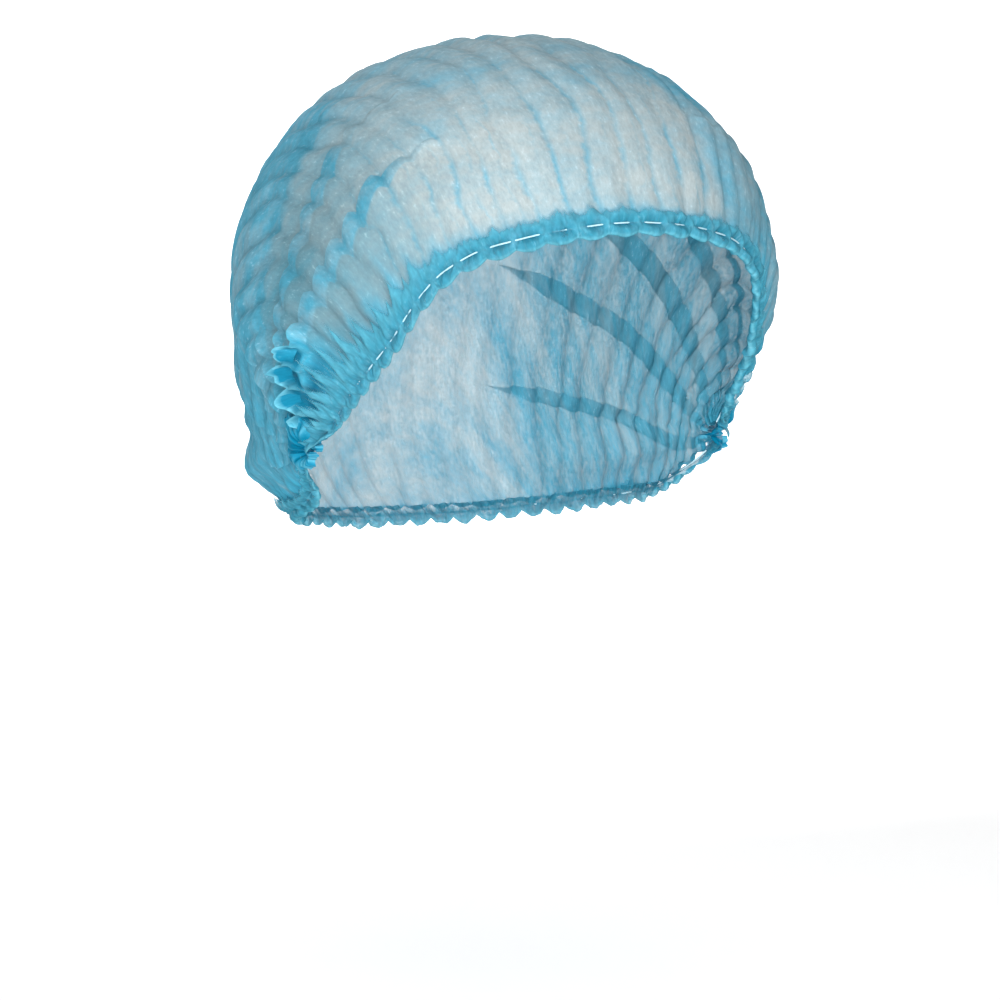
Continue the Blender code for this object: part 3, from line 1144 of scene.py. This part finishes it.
    def find_layers(self, lay: Layout, hidden: np.ndarray) -> np.ndarray:
        """Give how thick the cloth looks: laps, the cloth behind, and the far side.

        Args:
            lay: How the cloth lies.
            hidden: True where the cloth lies inside a lap.

        Returns:
            Shares of the folded colour.
        """
        near, share, folded = lay.near, lay.share, lay.folded
        from_middle = np.abs(lay.station - 0.5)
        edge = 0.006 * Crumple(Grain.FAR_EDGE).at(lay.along / 0.012, 0.5)
        far_side = ease(0.600, 0.625, lay.station + 0.25 * share + edge)
        far_side = 0.60 * far_side * ease(0.40, 0.30, share)
        behind = 0.88 * ease(0.28, 0.34, share) * (0.50 + 0.50 * ease(0.08, 0.20, from_middle))
        behind = np.maximum(behind, 0.62 * ease(0.37, 0.15, near))
        behind = np.maximum(behind, 0.34 * ease(0.06, 0.24, share))
        banded = 0.72 * lay.double * (0.03 + 0.97 * folded)
        banded = np.where(hidden, banded * (1.0 - folded), banded)
        return np.maximum(banded, np.maximum(far_side, behind))

    def find_side_shade(self, lay: Layout) -> np.ndarray:
        """Give the painted shade: how far the cloth is darkened and greyed towards the ears.

        Args:
            lay: How the cloth lies.

        Returns:
            Shares of the painted shade colour.
        """
        # Painted shade towards the ears, lighter on the folded bands and weaker on the far side.
        clear = 1.0 - 0.85 * lay.double * lay.folded
        side_shade = clear * ease(0.40, 0.20, lay.near) * (1.0 - 0.75 * ease(0.27, 0.38, lay.share))
        side_shade = side_shade * (lay.station < 0.5)
        return np.maximum(side_shade, 0.35 * ease(0.40, 0.30, lay.near) * (lay.station > 0.5))

    def find_bunch(self, lay: Layout, angle: np.ndarray, cups: Cups) -> np.ndarray:
        """Give how closely the cloth is bunched, with painted shade in the cups and in the pocket under
        them.

        Args:
            lay: How the cloth lies.
            angle: Angles round the ear line, in degrees.
            cups: The standing cups.

        Returns:
            Shares of the bunched colours and of the deep, shaded one.
        """
        rib = np.floor(lay.number)
        ragged = Crumple(Grain.LAP_RAGGED).at(rib * 3.3 + 0.5, 0.5)
        side = ease(0.13, 0.26, np.abs(lay.station - 0.5))
        spike = saw_tooth(lay.number) ** 1.5
        spike_length = 0.0035 + side * 0.0095 * spike * (1.0 + 0.5 * ragged)
        to_hem = np.minimum(lay.along, lay.length - lay.along)
        hem_bunch = 0.47 * bell(np.maximum(to_hem, 0.0), 0.0, spike_length)
        ear_bunch = 0.80 * bell(lay.near, 0.0, 0.052) * (0.72 + 0.28 * self.fan(lay, angle))
        # Painted shade inside the cups, deepest where they are most hollowed.
        cup = cups.flare * np.clip(1.9 * cups.hollowed, 0.0, 1.0) * (0.72 + 0.28 * cups.lobe)
        wall = 0.95 * cups.flare * (lay.double > 0)
        bunch = np.maximum(np.maximum(hem_bunch, ear_bunch), np.maximum(1.15 * cup, wall))
        # Painted shade in the pocket under the cups.
        return np.clip(np.maximum(bunch, self.pocket(lay, angle)), 0.0, 1.0)

    def find_highlight(self, lay: Layout, cups: Cups) -> np.ndarray:
        """Give the painted highlights on the crests and divider walls of the cups.

        Args:
            lay: How the cloth lies.
            cups: The standing cups.

        Returns:
            Shares of the painted highlight colour.
        """
        # Painted highlight on the cups' crests and divider walls.
        crests = np.clip(cups.raised**6 * cups.flare * 1.8, 0.0, 1.0) * (lay.part == Part.OVER)
        walls = np.sin(np.pi * np.clip(1.2 * cups.scoop, 0.0, 1.0)) * (lay.part <= Part.OVER)
        return np.maximum(crests, cups.flare * cups.divider**1.5 * walls)

    def build(self) -> bpy.types.Object:
        """Build the crown's cloth.

        Returns:
            The sheet, with its attributes for the finish.
        """
        rows = self.lay_rows()
        lay = self.lay_out(rows)
        self.run_through(lay)
        self.step_laps(lay)
        cups = self.stand_cups(lay)
        angle = lay.front + lay.along / lay.degree
        station = np.broadcast_to(lay.station, angle.shape)
        points = self.shape.lifted(station, angle, self.lift(lay, angle, cups.height))
        hidden = (lay.part == Part.UNDER) | (lay.part == Part.BACK) & (lay.way > 0.1)
        attributes = {
            "layers": self.find_layers(lay, hidden),
            "bunch": self.find_bunch(lay, angle, cups),
            "rib": lay.number,
            "highlight": self.find_highlight(lay, cups),
            "sheer": np.zeros_like(angle),
            "side_shade": self.find_side_shade(lay),
            "lapped": lay.folded * hidden,
        }
        attributes = {name: np.broadcast_to(values, angle.shape) for name, values in attributes.items()}
        uv = np.stack((station * self.uv_width, lay.along), axis=-1)
        part = lay.part[:, 0]
        turned = np.diff(part, append=Part.FREE) != 0
        folds = turned & (part >= Part.OVER) | (part == Part.UNDER) & (lay.way[:, 0] == 0.0)
        middle = Vector((0.0, 0.0, self.shape.ear_line_z))
        return cloth_grid("crown_cloth", points, attributes, uv, middle, folds=folds)


@dataclass(frozen=True)
class HemLoop:
    """One loop of a hem: its height over the elastic, and its lift between and at the pinches."""

    height: float
    puff: float
    pinch: float
    reach: float


HEM_LOOPS = (
    HemLoop(height=0.0050, puff=0.0009, pinch=0.0005, reach=1.0),
    HemLoop(height=0.0036, puff=0.0018, pinch=0.0007, reach=0.6),
    HemLoop(height=0.0021, puff=0.0021, pinch=0.0012, reach=0.2),
    HemLoop(height=0.0009, puff=0.0006, pinch=0.0015, reach=0.0),
    HemLoop(height=0.0000, puff=-0.0006, pinch=0.0014, reach=0.0),
    HemLoop(height=-0.0009, puff=0.0006, pinch=0.0013, reach=0.0),
    HemLoop(height=-0.0022, puff=0.0021, pinch=0.0006, reach=0.0),
    HemLoop(height=-0.0037, puff=0.0020, pinch=-0.0002, reach=0.0),
    HemLoop(height=-0.0047, puff=0.0009, pinch=-0.0008, reach=0.0),
    HemLoop(height=-0.0043, puff=-0.0005, pinch=-0.0012, reach=0.0),
    HemLoop(height=-0.0024, puff=-0.0014, pinch=-0.0012, reach=0.0),
    HemLoop(height=-0.0004, puff=-0.0016, pinch=-0.0010, reach=0.0),
    HemLoop(height=0.0016, puff=-0.0014, pinch=-0.0010, reach=0.0),
    HemLoop(height=0.0036, puff=-0.0010, pinch=-0.0010, reach=0.0),
)


@dataclass(frozen=True)
class HemGrid:
    """How a hem's cloth lies: a row for each step round the edge, a column for each station."""

    station: np.ndarray
    near: np.ndarray
    number: np.ndarray
    wave: np.ndarray
    loop: np.ndarray
    height: np.ndarray
    puff: np.ndarray
    pinch: np.ndarray
    reach: np.ndarray
    side: np.ndarray
    calm: np.ndarray | float
    showing: np.ndarray


@dataclass
class RuffledHem:
    """The doubled edge of the cap: puffed lobes pinched over the elastic, with a ragged upper edge."""

    shape: CapShape
    ribs: Ribs
    side: Hem
    rows: int = 48
    tucked: float = 0.60
    side_spike: float = 0.0110
    middle_spike: float = 0.0030
    hidden_share: float = 0.30
    left_share: float = 0.15
    lobe_scallop: float = 0.36
    gather_depth: float = 0.00070
    fuzz_height: float = 0.0009
    cover_height: float = 0.0009
    tooth_lift: float = 0.0012
    gather_cover: float = 0.0016
    calm_reach: float = 0.17
    ear_fade: float = 0.10
    uv_width: float = 0.31

    def along(self, station: np.ndarray, row: float) -> np.ndarray:
        """Give a second noise coordinate that differs between the hems."""
        return np.full_like(station, row if self.side is Hem.FRONT else row + 9.0)

    def lay_out(self) -> HemGrid:
        """Lay the hem's cloth round its edge.

        Returns:
            How it lies.
        """
        front = self.side is Hem.FRONT
        station = self.shape.stations(HEM_STEPS_PER_RIB, tucked=self.tucked)[None, :]
        near = self.shape.ear_distance(station)
        number = self.ribs.number(station, np.full_like(station, self.share))
        loop = np.linspace(0.0, len(HEM_LOOPS) - 1.0, self.rows)[:, None]
        places = list(range(len(HEM_LOOPS)))
        height, puff, pinch, reach = (
            smooth_curve(places, [getattr(row, name) for row in HEM_LOOPS], loop)
            for name in ("height", "puff", "pinch", "reach")
        )
        ear_limit = 0.05 if front else 0.14
        side = ease(0.13, 0.26, np.abs(station - 0.5)) * ease(0.5 * ear_limit, 1.5 * ear_limit, near)
        calm = 1.0 if front else 1.0 - 0.85 * np.exp(-((near / self.calm_reach) ** 4))
        shown_front = np.where(station > 0.5, self.left_share, 1.0)
        return HemGrid(
            station=station,
            near=near,
            number=number,
            wave=self.ribs.wave(number),
            loop=loop,
            height=height,
            puff=puff,
            pinch=pinch,
            reach=np.clip(reach, 0.0, 1.0),
            side=side,
            calm=calm,
            showing=shown_front if front else self.hidden_share * calm,
        )

    @property
    def share(self) -> float:
        """Where this hem lies between the front one and the back one."""
        return 0.0 if self.side is Hem.FRONT else 1.0

    def find_teeth(self, lay: HemGrid) -> np.ndarray:
        """Give the teeth of the upper edge: one for each rib with finer ones between.

        Args:
            lay: How the cloth lies.

        Returns:
            Their height, about 1 at most.
        """
        number = lay.number
        quick = saw_tooth(2.0 * number + 0.5) ** 1.4
        hasty = saw_tooth(3.0 * number + 0.3) ** 1.2
        uneven = 0.6 + 0.6 * Crumple(Grain.TOOTH_SIZE).at(number * 3.0 + 40.0, self.along(number, 1.5))
        return np.maximum(saw_tooth(number) ** 1.6, np.maximum(0.6 * quick, 0.75 * uneven * hasty))

    def find_height(self, lay: HemGrid, teeth: np.ndarray) -> np.ndarray:
        """Give the height of the cloth over the elastic.

        Args:
            lay: How the cloth lies.
            teeth: Teeth of the upper edge.

        Returns:
            Heights, in metres.
        """
        station = lay.station
        ragged = Crumple(Grain.TOOTH).at(np.floor(lay.number) * 3.3 + 0.5, self.along(station, 2.5))
        fuzz = Crumple(Grain.FUZZ).at(station * RIBS * 5.0, np.full_like(station, 0.5))
        spike = (self.middle_spike + self.side_spike * lay.side) * lay.showing * teeth
        spike = spike * (1.0 + 0.7 * ragged) + self.fuzz_height * fuzz * lay.calm
        fade = np.minimum(1.0, lay.near / self.ear_fade)
        below = 1.0 - self.lobe_scallop * (1.0 - lay.wave) * fade
        return np.where(lay.height > 0.0, lay.height + lay.reach * spike, lay.height * below)

    def find_wrinkle(self, lay: HemGrid, height: np.ndarray) -> np.ndarray:
        """Give the fine wrinkles, which cross each other.

        Args:
            lay: How the cloth lies.
            height: Heights over the elastic.

        Returns:
            Their height, between about -2 and 2.
        """
        ribs = lay.station * RIBS
        rise = height / 0.0034
        wrinkle = 0.8 * Crumple(Grain.WRINKLE).at(ribs * 3.9 + rise, rise * 0.5)
        wrinkle = wrinkle + 0.8 * Crumple(Grain.WRINKLE_CROSS).at(ribs * 3.9 - rise, 7.0 + rise * 0.5)
        return wrinkle + 0.5 * Crumple(Grain.WRINKLE_FINE).at(ribs * 9.0, height / 0.006)

    def find_lift(self, lay: HemGrid, wrinkle: np.ndarray) -> np.ndarray:
        """Give how far the cloth stands off the smooth shape.

        Args:
            lay: How the cloth lies.
            wrinkle: The fine wrinkles.

        Returns:
            The lift, in metres.
        """
        station, number, reach, calm = lay.station, lay.number, lay.reach, lay.calm
        each = Crumple(Grain.LOBE_SIZE).at(np.floor(number) * 1.9 + 0.5, self.along(number, 4.5))
        full = 0.85 + 0.30 * each
        lift = lay.pinch + (lay.puff * full - lay.pinch) * lay.wave**0.8
        covering = Crumple(Grain.THREAD_COVER).at(station * RIBS * 0.9, self.along(station, 6.5))
        lift = lift + self.cover_height * np.maximum(covering, 0.0) * bell(lay.loop, 4.0, 0.8)
        over = self.gather_cover * bell(lay.near, 0.0, 0.03) if self.side is Hem.FRONT else 0.0
        fade = np.minimum(1.0, lay.near / self.ear_fade)
        lift = lift * fade + 0.0004 * (1.0 - fade) + over
        raised = reach * lay.side * self.tooth_lift * saw_tooth(number) ** 1.6 * lay.showing
        under = self.ribs.lift(station, np.full_like(station, self.share), number)
        lift = lift + raised + under * reach * (1.0 - 0.5 * calm) + 0.0010 * (1.0 - calm) * reach
        return lift + self.gather_depth * calm * wrinkle * np.clip(0.35 + lay.wave, 0.0, 1.0)

    def find_looks(self, lay: HemGrid, teeth: np.ndarray, wrinkle: np.ndarray) -> dict[str, np.ndarray]:
        """Give the attributes that the finish reads.

        Args:
            lay: How the cloth lies.
            teeth: Teeth of the upper edge.
            wrinkle: The fine wrinkles.

        Returns:
            The attributes by name.
        """
        loop, reach, side, wave = lay.loop, lay.reach, lay.side, lay.wave
        hollow = bell(loop, 4.2, 1.3) * wave
        lower = bell(loop, 6.2, 0.8) * wave
        wrinkle = wrinkle * (0.4 + 0.6 * lay.calm)
        # The hollow over the elastic takes a deeper colour: bunched cloth, with painted shade in the
        # recess.
        bunch = 0.46 + 0.18 * wrinkle + 0.22 * hollow + 0.16 * ease(9.0, 10.0, loop)
        bunch = bunch + 0.26 * side * (1.0 - teeth) * reach - 0.12 * reach * (1.0 - side)
        # Painted highlight on the lower lobes' edges, the teeth, wrinkle crests, the pinches and a band
        # near the upper edge.
        highlight = bell(loop, 7.6, 0.45) + 0.55 * reach * teeth * side
        highlight = highlight + 0.55 * np.clip(wrinkle - 0.2, 0.0, 1.0) + 0.30 * bell(loop, 1.3, 0.8)
        highlight = highlight + 0.35 * (1.0 - wave) ** 2 * bell(loop, 5.0, 3.0)
        return {
            "layers": np.ones_like(wrinkle),
            "bunch": np.clip(bunch, 0.0, 1.0),
            "rib": 3.0 * lay.number + 0.5 * wrinkle,
            "highlight": np.clip(highlight, 0.0, 1.0),
            "sheer": 0.92 * reach ** (1.25 + 1.25 * side) + 0.30 * hollow + 0.26 * lower,
        }

    def build(self) -> bpy.types.Object:
        """Build the hem's cloth.

        Returns:
            The sheet, with its attributes for the finish.
        """
        lay = self.lay_out()
        teeth = self.find_teeth(lay)
        height = self.find_height(lay, teeth)
        wrinkle = self.find_wrinkle(lay, height)
        angle = self.shape.hem_angle(lay.station, self.side, height)
        station = np.broadcast_to(lay.station, angle.shape)
        points = self.shape.lifted(station, angle, self.find_lift(lay, wrinkle))
        uv = np.stack((station * self.uv_width, 0.5 + height), axis=-1)
        name = f"hem_{self.side.value}_ruffle"
        middle = Vector((0.0, 0.0, self.shape.ear_line_z))
        return cloth_grid(name, points, self.find_looks(lay, teeth, wrinkle), uv, middle)


@dataclass
class ElasticThread:
    """The white elastic that shows between the pinches of a hem."""

    shape: CapShape
    side: Hem
    radius: float = 0.00026
    lift: float = -0.00012
    bob: float = 0.00045
    waver: float = 0.0003
    steps_per_rib: int = 6
    front_tuck: float = 0.12
    back_tuck: float = 0.22

    def build(self) -> bpy.types.Object:
        """Build the thread as a closed tube from gather to gather.

        Returns:
            The tube.
        """
        station = self.shape.stations(self.steps_per_rib)
        swaying = Crumple(Grain.THREAD_SWAY).at(station * RIBS, np.full_like(station, 0.5))
        angle = self.shape.hem_angle(station, self.side, self.waver * swaying)
        bobbing = Crumple(Grain.THREAD_BOB).at(station * RIBS * 1.6, np.full_like(station, 3.5))
        covered = self.front_tuck if self.side is Hem.FRONT else self.back_tuck
        tucked = np.exp(-((self.shape.ear_distance(station) / covered) ** 4))
        lift = self.lift + self.bob * bobbing * (1.0 - tucked) - 1.5 * self.bob * tucked
        route = self.shape.lifted(station, angle, lift)
        name = f"elastic_{self.side.value}_thread"
        curve = bpy.data.curves.new(name, "CURVE")
        curve.dimensions = "3D"
        curve.bevel_depth = self.radius
        curve.bevel_resolution = 2
        curve.use_fill_caps = True
        spline = curve.splines.new("POLY")
        spline.points.add(len(route) - 1)
        for point, place in zip(spline.points, route):
            point.co = (*place, 1.0)
        drawn = add_object(name + "_route", curve)
        bpy.context.view_layer.update()
        mesh = bpy.data.meshes.new_from_object(drawn.evaluated_get(bpy.context.evaluated_depsgraph_get()))
        mesh.name = name
        bpy.data.objects.remove(drawn)
        mesh.shade_smooth()
        return add_object(name, mesh)


@dataclass
class RuffledGather:
    """The bunch where all the pleats close up beside an ear: folds round a sunken middle."""

    shape: CapShape
    ear: Ear
    folds: int = 13
    columns: int = 313
    rows: int = 34
    covered_radius: float = 0.0130
    open_radius: float = 0.0060
    fold_depth: float = 0.0016
    proud: float = 0.0007
    middle_dip: float = 0.0034
    middle_reach: float = 0.0030
    middle_swell: float = 0.0012
    edge_tuck: float = 0.0022
    uv_turn: float = 0.008

    def place(self, out: np.ndarray, radius: np.ndarray, turn: np.ndarray) -> np.ndarray:
        """Give points beside the ear.

        Args:
            out: Distances from the middle plane of the cap.
            radius: Distances from the ear line.
            turn: Turns round the ear line in radians, 0 ahead and a quarter turn up.

        Returns:
            The points, with x, y and z on the last axis.
        """
        out, radius, turn = np.broadcast_arrays(out, radius, turn)
        upward = self.shape.ear_line_z + radius * np.sin(turn)
        return np.stack((self.ear.value * out, -radius * np.cos(turn), upward), axis=-1)

    def build(self) -> bpy.types.Object:
        """Build the folds that fan out from a sunken middle over the crown.

        Returns:
            The bunch.
        """
        shape = self.shape
        turn = np.linspace(0.0, 2.0 * math.pi, self.columns)[None, :]
        way = np.linspace(0.0, 1.0, self.rows)[:, None]
        degrees = np.degrees(turn)
        covered = ease(28.0, 60.0, degrees) * ease(250.0, 225.0, degrees)
        grain = Grain.GATHER_RIGHT if self.ear is Ear.RIGHT else Grain.GATHER_LEFT
        uneven = Crumple(grain).at(6.0 * np.cos(turn) + 20.0, 6.0 * np.sin(turn) + 20.0)
        outer = self.open_radius + (self.covered_radius - self.open_radius) * covered
        radius = way**1.1 * outer * (1.0 + 0.16 * uneven * way)
        number = self.folds * turn / (2.0 * math.pi) + 0.5 * way + 0.9 * uneven * way
        ridge = np.abs(np.sin(math.pi * number))
        station = np.arctan2(radius, shape.gather_half_width) / math.pi
        angle = np.clip(degrees + 0.0 * way, 38.0, 236.0)
        base = np.abs(shape.point(np.minimum(station, 0.2), angle)[..., 0])
        depth = self.fold_depth * np.sin(math.pi * np.clip(way, 0.0, 1.0) ** 0.7) * (1.0 + 0.4 * uneven)
        sunken = bell(radius, 0.0, self.middle_reach)
        swollen = bell(radius, 2.0 * self.middle_reach, self.middle_reach)
        out = base + self.proud + depth * (ridge - 0.35) - self.middle_dip * sunken
        out = out + self.middle_swell * swollen - self.edge_tuck * ease(0.86, 1.0, way)
        points = self.place(out, radius, turn)
        # Deepest colour in the sunken middle and between the folds: bunched cloth, with painted shade in
        # the hollows.
        bunch = 1.05 - 0.40 * way + 0.30 * (1.0 - ridge)
        attributes = {
            "layers": np.ones_like(out),
            "bunch": np.clip(bunch, 0.0, 1.0),
            "rib": np.full_like(out, 0.5),
            # Painted highlight on the crests of the folds.
            "highlight": np.clip(0.45 * ridge**10 * ease(0.35, 0.7, way), 0.0, 1.0),
            "sheer": 0.9 * ease(0.80, 1.0, way) * covered,
        }
        uv = np.stack((turn * self.uv_turn + 0.0 * way, radius), axis=-1)
        centre = Vector((self.ear.value * (shape.gather_half_width - 0.03), 0.0, shape.ear_line_z))
        name = f"gather_{self.ear.name.lower()}_bunch"
        return cloth_grid(name, points, attributes, uv, centre, closed=True)


@dataclass(frozen=True)
class Lamp:
    """One soft square light, faced at a point; its size is in metres and its power in watts."""

    name: str
    place: tuple[float, float, float]
    aim: tuple[float, float, float]
    size: float
    power: float

    def build(self) -> None:
        """Hang the light."""
        data = bpy.data.lights.new(self.name, "AREA")
        data.shape = "SQUARE"
        data.size = self.size
        data.energy = self.power
        lamp = add_object(self.name, data)
        lamp.location = self.place
        lamp.rotation_mode = "QUATERNION"
        lamp.rotation_quaternion = (Vector(self.aim) - lamp.location).to_track_quat("-Z", "Y")


CAP_MIDDLE = (0.0, 0.0, -0.06)

LAMPS = (
    Lamp(name="key_light", place=(-0.60, -1.58, 0.50), aim=CAP_MIDDLE, size=0.8, power=25.5),
    Lamp(name="fill_light", place=(-1.50, -0.30, 0.20), aim=CAP_MIDDLE, size=1.2, power=5.0),
    Lamp(name="top_light", place=(0.05, 0.10, 1.15), aim=CAP_MIDDLE, size=1.0, power=2.0),
    Lamp(name="low_light", place=(-0.30, -0.92, -0.28), aim=(0.0, 0.03, -0.03), size=0.4, power=7.5),
    Lamp(name="backdrop_light", place=(0.3, 0.7, 0.9), aim=(0.3, 2.4, 0.2), size=1.6, power=40.0),
)


@dataclass
class Studio:
    """The camera, the seamless pale floor and the soft lights."""

    azimuth: float = -25.3
    elevation: float = 5.5
    distance: float = 1.596
    lens: float = 176.4
    target: Vector = field(default_factory=lambda: Vector((0.0, -0.0004, -0.1487)))
    sideways: float = 0.00554
    floor_z: float = -0.305
    floor_tone: float = 0.93
    floor_glow: float = 0.22
    bend_at: float = 1.2
    bend_radius: float = 0.8
    world_glow: float = 0.34

    def aim_camera(self) -> None:
        """Place the camera."""
        azimuth, elevation = math.radians(self.azimuth), math.radians(self.elevation)
        back = Vector((
            math.sin(azimuth) * math.cos(elevation),
            -math.cos(azimuth) * math.cos(elevation),
            math.sin(elevation),
        ))
        right = Vector((math.cos(azimuth), math.sin(azimuth), 0.0))
        data = bpy.data.cameras.new("camera")
        data.lens = self.lens
        data.sensor_width = 36.0
        data.clip_start = 0.05
        data.clip_end = 20.0
        camera = add_object("camera", data)
        camera.location = self.target - right * self.sideways + back * self.distance
        camera.rotation_mode = "QUATERNION"
        camera.rotation_quaternion = (-back).to_track_quat("-Z", "Y")
        bpy.context.scene.camera = camera

    def lay_floor(self) -> None:
        """Make the seamless floor, which curves up behind the cap."""
        sweep = bmesh.new()
        bmesh.ops.create_grid(sweep, x_segments=8, y_segments=48, size=3.0)
        quarter = 0.5 * math.pi * self.bend_radius
        for vertex in sweep.verts:
            past = vertex.co.y - self.bend_at
            if past > quarter:
                vertex.co.y = self.bend_at + self.bend_radius
                vertex.co.z = self.bend_radius + past - quarter
            elif past > 0.0:
                vertex.co.y = self.bend_at + self.bend_radius * math.sin(past / self.bend_radius)
                vertex.co.z = self.bend_radius * (1.0 - math.cos(past / self.bend_radius))
            vertex.co.z += self.floor_z
        mesh = bpy.data.meshes.new("floor")
        sweep.to_mesh(mesh)
        sweep.free()
        mesh.shade_smooth()
        floor = add_object("floor", mesh)
        paper = bpy.data.materials.new("pale_paper")
        paper.use_nodes = True
        face = paper.node_tree.nodes["Principled BSDF"]
        face.inputs["Base Color"].default_value = (self.floor_tone, self.floor_tone, self.floor_tone, 1.0)
        face.inputs["Roughness"].default_value = 0.9
        face.inputs["Specular IOR Level"].default_value = 0.1
        face.inputs["Emission Color"].default_value = (1.0, 1.0, 1.0, 1.0)
        face.inputs["Emission Strength"].default_value = self.floor_glow
        mesh.materials.append(paper)

    def build(self) -> None:
        """Set the whole stage."""
        self.aim_camera()
        self.lay_floor()
        for lamp in LAMPS:
            lamp.build()
        world = bpy.data.worlds.new("white_studio")
        world.use_nodes = True
        glow = world.node_tree.nodes["Background"]
        glow.inputs["Color"].default_value = (1.0, 1.0, 1.0, 1.0)
        glow.inputs["Strength"].default_value = self.world_glow
        bpy.context.scene.world = world
        bpy.context.scene.view_settings.view_transform = "Standard"


def main() -> None:
    """Dress every piece of the cap and set the stage."""
    logging.basicConfig(level=logging.INFO, format="%(message)s")
    shape = CapShape.from_frame()
    ribs = Ribs()
    crown_finish = NonwovenFinish(name="pale_blue_nonwoven").make()
    hem_finish = NonwovenFinish(
        name="folded_hem_nonwoven",
        bunched=(0.045, 0.30, 0.42),
        edge=(0.15, 0.50, 0.62),
        mottle_scale=260.0,
        thin_cover=0.62,
        thick_cover=0.82,
        crease_highlight=0.9,
    ).make()
    gather_finish = NonwovenFinish(
        name="bunched_nonwoven",
        deep_and_shade=(0.0010, 0.225, 0.385),
        mottle_scale=260.0,
    ).make()
    thread_finish = ThreadFinish().make()

    crown = Crown(shape, ribs).build()
    settle(crown, "crown", crown_finish)
    threads, edges = [], []
    for side in Hem:
        hem = RuffledHem(shape, ribs, side).build()
        settle(hem, f"hem_{side.value}", hem_finish)
        edges.append(hem)
        thread = ElasticThread(shape, side).build()
        settle(thread, f"elastic_{side.value}", thread_finish)
        threads.append(thread)
    for ear in Ear:
        bunch = RuffledGather(shape, ear).build()
        settle(bunch, f"gather_{ear.name.lower()}", gather_finish)
        edges.append(bunch)
    Studio().build()


if __name__ == "__main__":
    main()
